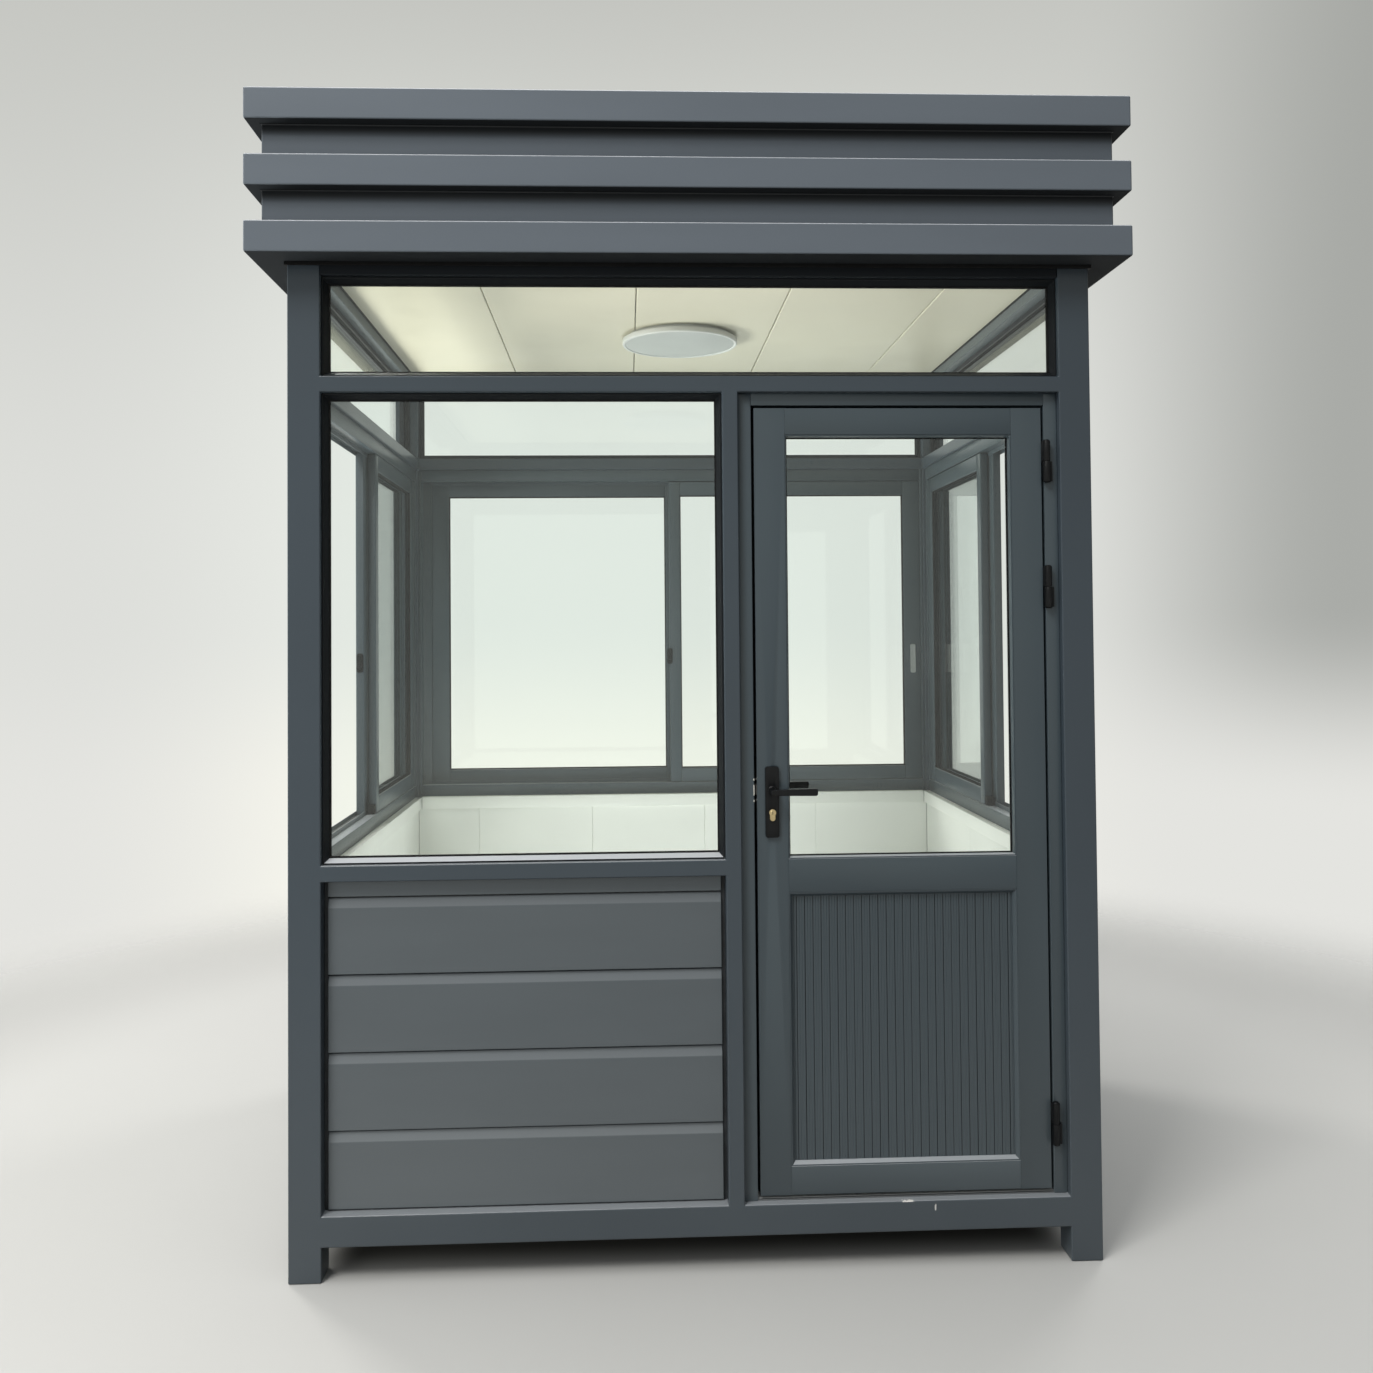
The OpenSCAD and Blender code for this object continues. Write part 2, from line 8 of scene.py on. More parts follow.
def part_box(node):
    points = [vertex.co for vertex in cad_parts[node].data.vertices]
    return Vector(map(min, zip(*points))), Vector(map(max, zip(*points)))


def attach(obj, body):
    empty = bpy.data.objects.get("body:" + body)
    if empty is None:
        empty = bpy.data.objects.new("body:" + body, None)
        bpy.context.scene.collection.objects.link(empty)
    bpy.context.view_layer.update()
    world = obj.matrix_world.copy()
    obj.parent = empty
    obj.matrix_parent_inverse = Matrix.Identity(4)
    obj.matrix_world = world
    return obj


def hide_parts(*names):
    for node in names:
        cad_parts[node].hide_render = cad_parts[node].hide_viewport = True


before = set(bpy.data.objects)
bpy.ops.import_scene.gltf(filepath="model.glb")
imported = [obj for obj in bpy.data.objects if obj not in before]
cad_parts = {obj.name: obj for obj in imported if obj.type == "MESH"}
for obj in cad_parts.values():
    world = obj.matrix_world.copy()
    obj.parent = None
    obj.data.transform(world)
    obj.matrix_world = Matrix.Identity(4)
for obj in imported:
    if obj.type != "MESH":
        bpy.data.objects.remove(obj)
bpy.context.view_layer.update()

scene = bpy.context.scene
scene.view_settings.view_transform = "Standard"

# Sizes in metres. The walls are laid out as the front one is: x along the wall, y the depth behind
# the outer faces of the posts, z up.
HALF_W, HALF_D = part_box("corner_posts")[1].xy
POST = 0.080
IN_W = HALF_W - POST
IN_D = HALF_D - POST
BASE_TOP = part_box("base_rails")[1].z
FASCIA_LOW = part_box("front_fascia")[0].z
BAND, BAND_GAP = 0.077, 0.084
BAND_PITCH = BAND + BAND_GAP
BOARD_BACK = 0.054
SILL_RAIL = 0.040
WALLS = {
    "front": (0, HALF_D, IN_W),
    "rear": (180, HALF_D, IN_W),
    "left": (-90, HALF_W, IN_D),
    "right": (90, HALF_W, IN_D),
}


def on_wall(wall):
    """Carries what is laid out against the front wall to one of the walls."""
    turn, reach = WALLS[wall][:2]
    return Matrix.Rotation(math.radians(turn), 4, "Z") @ Matrix.Translation((0, -reach, 0))


# Camera, fitted to the posts, rails and fascia of the photograph. The picture's width, focal length and
# shift are in its pixels, and the turns are in radians.

PHOTO = 1373.0
FOCUS = 1224.1
SHIFT = (9.6, -79.1)
YAW, PITCH, ROLL = 0.042, 0.0223, -0.0081
CAMERA_PLACE = (-0.1742, -3.7767, 1.5616)
SENSOR = 36


def set_camera():
    ahead = Vector((math.sin(YAW) * math.cos(PITCH), math.cos(YAW) * math.cos(PITCH), math.sin(PITCH)))
    right = Vector((math.cos(YAW), -math.sin(YAW), 0))
    up = right.cross(ahead)
    side = math.cos(ROLL) * right + math.sin(ROLL) * up
    top = math.cos(ROLL) * up - math.sin(ROLL) * right
    data = bpy.data.cameras.new("photo_camera")
    data.sensor_width = SENSOR
    data.lens = SENSOR * FOCUS / PHOTO
    data.shift_x = SHIFT[0] / PHOTO
    data.shift_y = SHIFT[1] / PHOTO
    camera = bpy.data.objects.new("photo_camera", data)
    camera.matrix_world = Matrix((side, top, -ahead)).transposed().to_4x4()
    camera.location = CAMERA_PLACE
    scene.collection.objects.link(camera)
    scene.camera = camera


set_camera()


# Finishes

def tone(red, green, blue):
    """Linear colour from screen values of 0 to 255."""
    return tuple(((v / 255 + 0.055) / 1.055) ** 2.4 for v in (red, green, blue)) + (1.0,)


def shaded(colour, share):
    """The same colour, darker or lighter."""
    return tuple(v * share for v in colour[:3]) + (1.0,)


class Val:
    """A number or colour that a finish works out over the surface."""

    def __init__(self, finish, socket):
        self.finish = finish
        self.socket = socket

    def __add__(self, other):
        return self.finish.math("ADD", self, other)

    def __radd__(self, other):
        return self.finish.math("ADD", other, self)

    def __sub__(self, other):
        return self.finish.math("SUBTRACT", self, other)

    def __rsub__(self, other):
        return self.finish.math("SUBTRACT", other, self)

    def __mul__(self, other):
        return self.finish.math("MULTIPLY", self, other)

    def __truediv__(self, other):
        return self.finish.math("DIVIDE", self, other)


class Finish:
    """The node tree of one finish."""

    def __init__(self, name, tree=None):
        if tree is None:
            self.material = bpy.data.materials.new(name)
            self.material.use_nodes = True
            tree = self.material.node_tree
        self.tree = tree
        self.tree.nodes.clear()

    def add(self, kind, settings=None, inputs=None, out=0):
        """Adds one node: its settings first, then the values or links of its sockets."""
        node = self.tree.nodes.new(kind)
        for name, value in (settings or {}).items():
            setattr(node, name, value)
        for key, value in (inputs or {}).items():
            if isinstance(value, Val):
                self.tree.links.new(value.socket, node.inputs[key])
            else:
                node.inputs[key].default_value = value
        return Val(self, node.outputs[out]) if node.outputs else None

    def math(self, operation, *values):
        return self.add("ShaderNodeMath", {"operation": operation}, dict(enumerate(values)))

    def place(self, stretch=(1, 1, 1)):
        """Object coordinates, stretched along the axes."""
        point = self.add("ShaderNodeTexCoord", out="Object")
        return self.add("ShaderNodeMapping", {}, {"Vector": point, "Scale": stretch})

    def axis(self, index):
        """One of the object coordinates."""
        return self.add("ShaderNodeSeparateXYZ", {}, {0: self.place()}, index)

    def noise(self, scale, detail=2.0, stretch=(1, 1, 1)):
        """Cloudy pattern from about 0.3 to 0.7."""
        inputs = {"Vector": self.place(stretch), "Scale": scale, "Detail": detail}
        return self.add("ShaderNodeTexNoise", {}, inputs)

    def cells(self, scale):
        """A random value for each cell of a stony pattern."""
        colour = self.add("ShaderNodeTexVoronoi", {}, {"Vector": self.place(), "Scale": scale}, "Color")
        return self.add("ShaderNodeSeparateXYZ", {}, {0: colour}, 0)

    def upward(self):
        """How far the surface faces up: 1 is level and up, -1 is level and down."""
        normal = self.add("ShaderNodeNewGeometry", out="Normal")
        return self.add("ShaderNodeSeparateXYZ", {}, {0: normal}, 2)

    def proud(self):
        """How far a point stands out from the outer faces of the posts."""
        across, along = (self.math("ABSOLUTE", self.axis(i)) for i in (0, 1))
        return self.math("MAXIMUM", across - HALF_W, along - HALF_D)

    def rise(self, value, low, high):
        """Goes smoothly from 0 to 1 between two values."""
        settings = {"interpolation_type": "SMOOTHSTEP"}
        return self.add("ShaderNodeMapRange", settings, {"Value": value, "From Min": low, "From Max": high})

    def mix(self, share, first, second):
        """Colour between two colours."""
        return self.add("ShaderNodeMix", {"data_type": "RGBA"}, {0: share, 6: first, 7: second}, 2)

    def bump(self, height, distance, strength):
        inputs = {"Height": height, "Distance": distance, "Strength": strength}
        return self.add("ShaderNodeBump", {}, inputs)

    def surface(self, **inputs):
        """Ends the tree in one principled shader and returns the material."""
        named = {key.replace("_", " "): value for key, value in inputs.items()}
        return self.end(self.add("ShaderNodeBsdfPrincipled", {}, named))

    def end(self, shader):
        self.add("ShaderNodeOutputMaterial", {}, {"Surface": shader})
        return self.material


# Colours that the coats mix in: paler near the ground, painted light on ledges, painted edge highlights,
# painted shade, and primer.
LOW_PALE = tone(157, 160, 158)
LEDGE_LIGHT = tone(204, 208, 212)
EDGE_HIGHLIGHT = tone(214, 218, 222)
DEEP_SHADE = tone(12, 14, 16)
PRIMER = tone(226, 224, 218)


def powder_coat(name, shade, roughness, streaks=(1, 1, 1), chips=(), low_pale=0.0, pale_top=1.1, ledge_light=0.0,
                worn=0.0, highlight_from=(0.25, 0.55), under=0.0, gloss=0.45, inner=None, recess_shade=0.0):
    """Powder coat: a cloudy tone with fine orange peel. Where they are asked for, it is paler towards the
    ground, has painted light on ledges and painted highlights on upper edges, painted shade on undersides,
    in recesses and on outer faces whose room side gets a lit colour, and chips down to the primer."""
    f = Finish(name)
    cloud = f.rise(f.noise(1.9, 3.0, streaks), 0.3, 0.7)
    fleck = f.rise(f.noise(900, 1.0), 0.52, 0.72)
    peel = f.noise(330, 1.5)
    colour = f.mix(cloud, shaded(shade, 0.965), shaded(shade, 1.035))
    colour = f.mix(fleck * 0.05, colour, shaded(shade, 1.9))
    # Paler towards the ground.
    if low_pale:
        low = 1 - f.rise(f.axis(2), 0.02, pale_top)
        colour = f.mix(low * (0.8 + f.noise(2.4, 3.0) * 0.4) * low_pale, colour, LOW_PALE)
    # Painted light: upward faces below about 1.4 m, which the eaves don't shade, are made pale, standing in
    # for sky light on ledges and sills.
    if ledge_light:
        sill = f.rise(f.upward(), 0.55, 0.85) * (1 - f.rise(f.axis(2), 1.4, 1.6))
        colour = f.mix(sill * ledge_light, colour, LEDGE_LIGHT)
    # Painted highlight: upper edges and upward slopes are made pale, standing in for light catching them.
    if worn:
        edge = f.rise(f.upward(), *highlight_from) * (1 - f.rise(f.upward(), 0.94, 0.99))
        colour = f.mix(edge * worn, colour, EDGE_HIGHLIGHT)
    down = 0.0
    # Painted shade: faces that look down are darkened, and made rougher.
    if under:
        down = 1 - f.rise(f.upward(), -0.95, -0.6)
        colour = f.mix(down * under, colour, DEEP_SHADE)
    # Painted shade: outer faces keep the given colour as painted shade, and faces on the room's side get
    # the inner colour, the same paint lit.
    if inner:
        colour = f.mix(f.rise(f.proud(), -0.052, -0.048), inner, colour)
    # Painted shade: recessed upright faces are darkened, and a painted shadow darkens the top of each
    # fascia recess under the band above.
    if recess_shade:
        upright = 1 - f.rise(f.math("ABSOLUTE", f.upward()), 0.2, 0.5)
        behind = 1 - f.rise(f.proud(), 0.055, 0.065)
        colour = f.mix(behind * upright * recess_shade, colour, shaded(shade, 0.5))
        height = f.math("MODULO", f.axis(2) - FASCIA_LOW, BAND_PITCH)
        top = f.rise(height, BAND_PITCH - 0.034, BAND_PITCH - 0.012)
        colour = f.mix(top * 0.92, colour, DEEP_SHADE)
    chipped = 0.0
    for left, right, bottom, top in chips:
        across = f.math("ABSOLUTE", f.axis(0) - (left + right) / 2) / ((right - left) / 2)
        along = f.math("ABSOLUTE", f.axis(2) - (bottom + top) / 2) / ((top - bottom) / 2)
        ragged = f.math("MAXIMUM", across, along) + (f.noise(310, 2.0) - 0.5) * 1.6
        front = 1 - f.rise(f.axis(1), -0.745, -0.735)
        chipped = f.math("MAXIMUM", (1 - f.rise(ragged, 0.75, 0.95)) * front, chipped)
    if chips:
        colour = f.mix(chipped, colour, PRIMER)
    rough = roughness + (f.noise(4.5, 3.0, streaks) - 0.5) * 0.06 + chipped * 0.2 + down * 0.55
    normal = f.bump(peel - chipped * 0.6, 0.0004, 0.08)
    return f.surface(Base_Color=colour, Roughness=rough, Normal=normal, Specular_IOR_Level=gloss)


def wall_board(name, shade, roughness):
    """Smooth faced wall and ceiling board, a little uneven."""
    f = Finish(name)
    cloud = f.rise(f.noise(2.6, 4.0), 0.3, 0.7)
    scuff = f.rise(f.noise(21, 5.0), 0.58, 0.78)
    colour = f.mix(cloud, shaded(shade, 0.955), shaded(shade, 1.02))
    colour = f.mix(scuff * 0.14, colour, shaded(shade, 0.72))
    rough = roughness + (f.noise(9, 3.0) - 0.5) * 0.2
    normal = f.bump(f.noise(5.5, 1.0) + f.noise(240, 1.0) * 0.04, 0.004, 0.12)
    return f.surface(Base_Color=colour, Roughness=rough, Normal=normal)


def vinyl_floor():
    """Sheet vinyl with small stone coloured chips."""
    f = Finish("vinyl_floor")
    chip = f.cells(230)
    colour = f.mix(f.rise(chip, 0.2, 0.8), tone(128, 124, 118), tone(166, 162, 154))
    colour = f.mix(f.rise(chip, 0.9, 0.93), colour, tone(96, 94, 92))
    walked = f.rise(f.noise(3.1, 4.0), 0.4, 0.7)
    colour = f.mix(walked * 0.25, colour, tone(112, 106, 98))
    normal = f.bump(f.noise(500, 2.0), 0.0004, 0.4)
    return f.surface(Base_Color=colour, Roughness=0.42 + walked * 0.18, Normal=normal)


def window_glass():
    """Clear float glass: see-through with a greenish cast, and a clean reflection."""
    f = Finish("window_glass")
    film = f.rise(f.noise(1.4, 4.0), 0.45, 0.75)
    gloss = f.add("ShaderNodeFresnel", {}, {"IOR": 1.45})
    share = gloss * 0.30 + film * 0.012 + 0.020
    through = f.add("ShaderNodeBsdfTransparent", {}, {"Color": (0.973, 0.988, 0.982, 1)})
    mirror = f.add("ShaderNodeBsdfGlossy", {}, {"Color": (0.96, 0.98, 0.97, 1), "Roughness": 0.03})
    return f.end(f.add("ShaderNodeMixShader", {}, {0: share, 1: through, 2: mirror}))


def hard_black(name, shade, roughness, grain, gloss=0.5):
    """Black fittings and rubber: a fine even grain with worn, slightly greyer patches."""
    f = Finish(name)
    worn = f.rise(f.noise(26, 5.0), 0.48, 0.75)
    colour = f.mix(worn, shade, shaded(shade, 1.8))
    rough = roughness + (f.noise(60, 3.0) - 0.5) * 0.25
    normal = f.bump(f.noise(grain, 2.0), 0.0002, 0.5)
    return f.surface(Base_Color=colour, Roughness=rough, Normal=normal, Specular_IOR_Level=gloss)


def bare_metal(name, shade, roughness, stretch):
    """Bare metal with drawn streaks along one axis and a few dull spots."""
    f = Finish(name)
    streak = f.noise(90, 3.0, stretch)
    dull = f.rise(f.noise(40, 4.0), 0.5, 0.8)
    colour = f.mix(f.rise(streak, 0.3, 0.7), shaded(shade, 0.86), shaded(shade, 1.08))
    colour = f.mix(dull * 0.35, colour, shaded(shade, 0.6))
    rough = roughness + (streak - 0.5) * 0.2 + dull * 0.18
    normal = f.bump(streak, 0.0002, 0.3)
    return f.surface(Base_Color=colour, Roughness=rough, Metallic=1.0, Normal=normal)


def lamp_white(name, shade, roughness, mottle):
    """White enamel or opal plastic, with a faint mottle."""
    f = Finish(name)
    cloud = f.rise(f.noise(mottle, 3.0), 0.3, 0.7)
    colour = f.mix(cloud, shaded(shade, 0.95), shaded(shade, 1.03))
    rough = roughness + (f.noise(45, 2.0) - 0.5) * 0.12
    return f.surface(Base_Color=colour, Roughness=rough, Normal=f.bump(f.noise(420, 1.0), 0.0002, 0.2))


def roof_paint():
    """Weathered roof sheet: rain marks, settled dirt and a dull spangle."""
    f = Finish("roof_paint")
    grain = f.cells(60)
    dirt = f.rise(f.noise(3.4, 6.0), 0.42, 0.72)
    colour = f.mix(grain, tone(104, 109, 113), tone(122, 127, 130))
    colour = f.mix(dirt * 0.55, colour, tone(112, 105, 94))
    rough = 0.5 + dirt * 0.25
    return f.surface(Base_Color=colour, Roughness=rough, Normal=f.bump(f.noise(180, 3.0), 0.0005, 0.4))


# The two chips on the base rail under the door: left, right, bottom and top
CHIPS = ((0.498, 0.528, 0.1572, 0.1602), (0.5785, 0.5825, 0.134, 0.151))
# The ledge setting paints light onto the upward faces of the frame, beads and sashes.
frame_coat = powder_coat("frame_coat", tone(60, 70, 78), 0.32, chips=CHIPS, low_pale=0.10, ledge_light=0.35)
bead_coat = powder_coat("bead_coat", tone(26, 29, 32), 0.34, ledge_light=0.8, gloss=0.15)
# Header: its dark outer faces are painted shade under the fascia, and its room side has the lit colour.
shaded_header_coat = powder_coat("shaded_header_coat", tone(32, 36, 40), 0.34, gloss=0.10, inner=tone(84, 92, 96))
# Fascia: painted highlights on the upper edges, painted shade on the undersides and in the recesses.
fascia_coat = powder_coat("fascia_coat", tone(105, 113, 121), 0.32, (0.6, 0.6, 3), worn=0.6, under=0.95,
                          gloss=0.22, recess_shade=0.42)
# Boards: painted highlights on the upward slopes of the boards, and paler towards the ground.
board_coat = powder_coat("board_coat", tone(91, 98, 102), 0.34, (0.7, 0.7, 4), low_pale=0.13, pale_top=0.75,
                         worn=0.08, highlight_from=(0.18, 0.30))
alloy_coat = powder_coat("alloy_coat", tone(66, 77, 83), 0.32, low_pale=0.10, ledge_light=0.5)
white_lining = wall_board("white_lining", tone(234, 236, 229), 0.38)
cream_ceiling = wall_board("cream_ceiling", tone(217, 213, 194), 0.40)
floor_finish = vinyl_floor()
glass = window_glass()
fitting_black = hard_black("fitting_black", tone(11, 12, 14), 0.38, 800, 0.22)
rubber_black = hard_black("rubber_black", tone(10, 10, 11), 0.68, 500, 0.2)
sealant_grey = hard_black("sealant_grey", tone(38, 41, 44), 0.62, 300)
strip_alloy = bare_metal("strip_alloy", tone(150, 152, 154), 0.42, (0.05, 4, 4))
pull_alloy = bare_metal("pull_alloy", tone(196, 198, 198), 0.40, (4, 4, 0.05))
plate_steel = bare_metal("plate_steel", tone(205, 204, 200), 0.40, (4, 4, 0.05))
key_brass = bare_metal("key_brass", tone(206, 186, 142), 0.40, (6, 0.3, 6))
lamp_enamel = lamp_white("lamp_enamel", tone(222, 224, 223), 0.36, 9)
lamp_opal = lamp_white("lamp_opal", tone(187, 192, 191), 0.38, 5)
roof_finish = roof_paint()


# Shapes

def copy_of(node):
    """Merged copy of a node's solids, with its flat faces joined up."""
    bm = bmesh.new()
    bm.from_mesh(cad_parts[node].data)
    bmesh.ops.remove_doubles(bm, verts=bm.verts[:], dist=1e-5)
    bmesh.ops.dissolve_limit(bm, angle_limit=0.02, verts=bm.verts[:], edges=bm.edges[:])
    return bm


def boxes_of(node):
    """Lowest and highest corner of each separate solid of a node."""
    bm = copy_of(node)
    seen = set()
    found = []
    for first in bm.verts:
        if first in seen:
            continue
        island = [first]
        seen.add(first)
        for vert in island:
            for edge in vert.link_edges:
                other = edge.other_vert(vert)
                if other not in seen:
                    seen.add(other)
                    island.append(other)
        low = Vector([min(v.co[i] for v in island) for i in range(3)])
        high = Vector([max(v.co[i] for v in island) for i in range(3)])
        found.append((low, high))
    bm.free()
    return found


def fused(boxes):
    """One skin around boxes that touch, without faces inside."""
    cuts = [sorted({round(corner[i], 5) for box in boxes for corner in box}) for i in range(3)]

    def filled(cell):
        if any(not 0 <= cell[i] < len(cuts[i]) - 1 for i in range(3)):
            return False
        middle = [(cuts[i][cell[i]] + cuts[i][cell[i] + 1]) / 2 for i in range(3)]
        return any(all(low[i] < middle[i] < high[i] for i in range(3)) for low, high in boxes)

    bm = bmesh.new()
    made = {}

    def corner(key):
        if key not in made:
            made[key] = bm.verts.new([cuts[i][key[i]] for i in range(3)])
        return made[key]

    spans = [range(len(cut) - 1) for cut in cuts]
    for cell in ((a, b, c) for a in spans[0] for b in spans[1] for c in spans[2]):
        if not filled(cell):
            continue
        for axis in range(3):
            first, second = [i for i in range(3) if i != axis]
            for side in (0, 1):
                beside = list(cell)
                beside[axis] += 2 * side - 1
                if filled(beside):
                    continue
                loop = []
                for a, b in ((0, 0), (1, 0), (1, 1), (0, 1)):
                    key = list(cell)
                    key[axis] += side
                    key[first] += a
                    key[second] += b
                    loop.append(corner(tuple(key)))
                bm.faces.new(loop)
    return bm


def block(bm, low, high):
    """Adds a box between two corners."""
    for vert in bmesh.ops.create_cube(bm, size=1.0)["verts"]:
        vert.co = [low[i] + (vert.co[i] + 0.5) * (high[i] - low[i]) for i in range(3)]


def bar(bm, outline, start, end, axis):
    """Adds a straight bar: an outline in the two other axes, run along one axis."""
    across = [i for i in range(3) if i != axis]
    rows = []
    for place in (start, end):
        row = []
        for point in outline:
            spot = [0.0, 0.0, 0.0]
            spot[axis] = place
            spot[across[0]], spot[across[1]] = point
            row.append(bm.verts.new(spot))
        rows.append(row)
    bm.faces.new(rows[0])
    bm.faces.new(rows[1][::-1])
    join(bm, rows[0], rows[1])


def add_to(whole, bm):
    """Adds a finished shape to a piece."""
    part = bpy.data.meshes.new("part")
    bm.to_mesh(part)
    bm.free()
    whole.from_mesh(part)


def move_in(bm, whole, wall):
    """Puts a shape laid out against the front wall on a wall, and adds it to a piece."""
    bm.transform(on_wall(wall))
    add_to(whole, bm)


def join(bm, first, second):
    """Adds the faces between two loops of equal length."""
    for k in range(len(first)):
        n = (k + 1) % len(first)
        bm.faces.new((first[k], first[n], second[n], second[k]))


def mitred_ring(bm, low, high, axis, section):
    """Adds a frame with mitred corners: a section point is an inset and a place along the axis."""
    across = [i for i in range(3) if i != axis]
    loops = []
    for sides in ((0, 0), (1, 0), (1, 1), (0, 1)):
        loop = []
        for inset, place in section:
            spot = [0.0, 0.0, 0.0]
            spot[axis] = place
            for i, side in zip(across, sides):
                spot[i] = high[i] - inset if side else low[i] + inset
            loop.append(bm.verts.new(spot))
        loops.append(loop)
    for k in range(4):
        join(bm, loops[k], loops[(k + 1) % 4])


def rim(bm, outer, inner, near, far):
    """Adds a raised rim between two outlines of equal length in x and z."""
    loops = []
    for outline, depth in ((outer, near), (outer, far), (inner, far), (inner, near)):
        loops.append([bm.verts.new((x, depth, z)) for x, z in outline])
    for k in range(4):
        join(bm, loops[k], loops[(k + 1) % 4])


def turned(bm, profile, centre, axis, steps):
    """Adds a round part: radius and place along the axis, from one closed end to the other."""
    across = [i for i in range(3) if i != axis]
    rings = []
    for radius, place in profile:
        ring = []
        for k in range(steps if radius else 1):
            angle = 2 * math.pi * k / steps
            spot = list(centre)
            spot[axis] += place
            spot[across[0]] += radius * math.cos(angle)
            spot[across[1]] += radius * math.sin(angle)
            ring.append(bm.verts.new(spot))
        rings.append(ring)
    for low, high in zip(rings, rings[1:]):
        for k in range(steps):
            n = (k + 1) % steps
            loop = [low[k % len(low)], low[n % len(low)], high[n % len(high)], high[k % len(high)]]
            bm.faces.new(list(dict.fromkeys(loop)))


def rounded(width, height, radius, centre):
    """Outline of a rectangle with round corners."""
    steps = 6
    points = []
    for quarter, (x, y) in enumerate(((1, 1), (-1, 1), (-1, -1), (1, -1))):
        for k in range(steps + 1):
            angle = math.pi / 2 * (quarter + k / steps)
            points.append((centre[0] + x * (width / 2 - radius) + radius * math.cos(angle),
                           centre[1] + y * (height / 2 - radius) + radius * math.sin(angle)))
    return points


def row_tree():
    """Geometry nodes: copies of a shape along a straight row, each a little out of place."""
    tree = bpy.data.node_groups.new("row_of_copies", "GeometryNodeTree")
    face = tree.interface
    face.new_socket("Shape", in_out="INPUT", socket_type="NodeSocketGeometry")
    face.new_socket("Count", in_out="INPUT", socket_type="NodeSocketInt")
    face.new_socket("First", in_out="INPUT", socket_type="NodeSocketVector")
    face.new_socket("Step", in_out="INPUT", socket_type="NodeSocketVector")
    face.new_socket("Play", in_out="INPUT", socket_type="NodeSocketVector")
    face.new_socket("Seed", in_out="INPUT", socket_type="NodeSocketInt")
    face.new_socket("Finish", in_out="INPUT", socket_type="NodeSocketMaterial")
    face.new_socket("Row", in_out="OUTPUT", socket_type="NodeSocketGeometry")
    nodes = tree.nodes
    given = nodes.new("NodeGroupInput").outputs
    line = nodes.new("GeometryNodeMeshLine")
    chance = nodes.new("FunctionNodeRandomValue")
    chance.data_type = "FLOAT_VECTOR"
    turn_round = nodes.new("ShaderNodeVectorMath")
    turn_round.operation = "SCALE"
    turn_round.inputs["Scale"].default_value = -1.0
    shift = nodes.new("GeometryNodeSetPosition")
    copies = nodes.new("GeometryNodeInstanceOnPoints")
    real = nodes.new("GeometryNodeRealizeInstances")
    paint = nodes.new("GeometryNodeSetMaterial")
    result = nodes.new("NodeGroupOutput")
    for source, target in (
        (given["Count"], line.inputs["Count"]),
        (given["First"], line.inputs["Start Location"]),
        (given["Step"], line.inputs["Offset"]),
        (given["Play"], turn_round.inputs[0]),
        (turn_round.outputs[0], chance.inputs[0]),
        (given["Play"], chance.inputs[1]),
        (given["Seed"], chance.inputs["Seed"]),
        (line.outputs["Mesh"], shift.inputs["Geometry"]),
        (chance.outputs[0], shift.inputs["Offset"]),
        (shift.outputs["Geometry"], copies.inputs["Points"]),
        (given["Shape"], copies.inputs["Instance"]),
        (copies.outputs["Instances"], real.inputs["Geometry"]),
        (real.outputs["Geometry"], paint.inputs["Geometry"]),
        (given["Finish"], paint.inputs["Material"]),
        (paint.outputs["Geometry"], result.inputs["Row"]),
    ):
        tree.links.new(source, target)
    return tree


ROW = row_tree()


def row_of(bm, finish, count, step, first=(0, 0, 0), play=(0, 0, 0), seed=3):
    """Repeats a shape in a row and returns the row as one mesh to build on."""
    mesh = bpy.data.meshes.new("shape")
    bmesh.ops.recalc_face_normals(bm, faces=bm.faces[:])
    bm.to_mesh(mesh)
    bm.free()
    maker = bpy.data.objects.new("row_maker", mesh)
    scene.collection.objects.link(maker)
    modifier = maker.modifiers.new("row", "NODES")
    modifier.node_group = ROW
    sizes = {"Count": count, "First": first, "Step": step, "Play": play, "Seed": seed, "Finish": finish}
    for item in ROW.interface.items_tree:
        if item.name in sizes:
            modifier[item.identifier] = sizes[item.name]
    maker.update_tag()
    ready = maker.evaluated_get(bpy.context.evaluated_depsgraph_get())
    made = bpy.data.meshes.new_from_object(ready)
    bpy.data.objects.remove(maker)
    row = bmesh.new()
    row.from_mesh(made)
    return row


def piece(name, bm, finish, slot, nodes=(), body="booth", soft=0.0, steps=2):
    """Finishes one piece: outward faces, softened edges, its finish, its body and its solids."""
    bmesh.ops.recalc_face_normals(bm, faces=bm.faces[:])
    mesh = bpy.data.meshes.new(name)
    bm.to_mesh(mesh)
    bm.free()
    mesh.materials.append(finish)
    made = bpy.data.objects.new(name, mesh)
    scene.collection.objects.link(made)
    if soft:
        mesh.shade_smooth()
        edges = made.modifiers.new("soft_edges", "BEVEL")
        edges.width = soft
        edges.segments = steps
        edges.limit_method = "ANGLE"
        edges.angle_limit = math.radians(16)
        edges.harden_normals = True
    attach(made, body)
    if nodes:
        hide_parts(*nodes)
    return made


def dressed(name, node, finish, slot, soft, body="booth"):
    """A piece with a node's own shape, its edges softened."""
    piece(name, copy_of(node), finish, slot, (node,), body, soft)


def smooth_piece(*values, **named):
    """A round piece: smooth all over, apart from its real corners."""
    made = piece(*values, **named)
    made.data.shade_smooth()
    made.data.set_sharp_from_angle(angle=math.radians(32))
    return made


# Steel frame, roof and floor

def heights(node):
    """Foot and top of a node."""
    low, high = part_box(node)
    return low.z, high.z


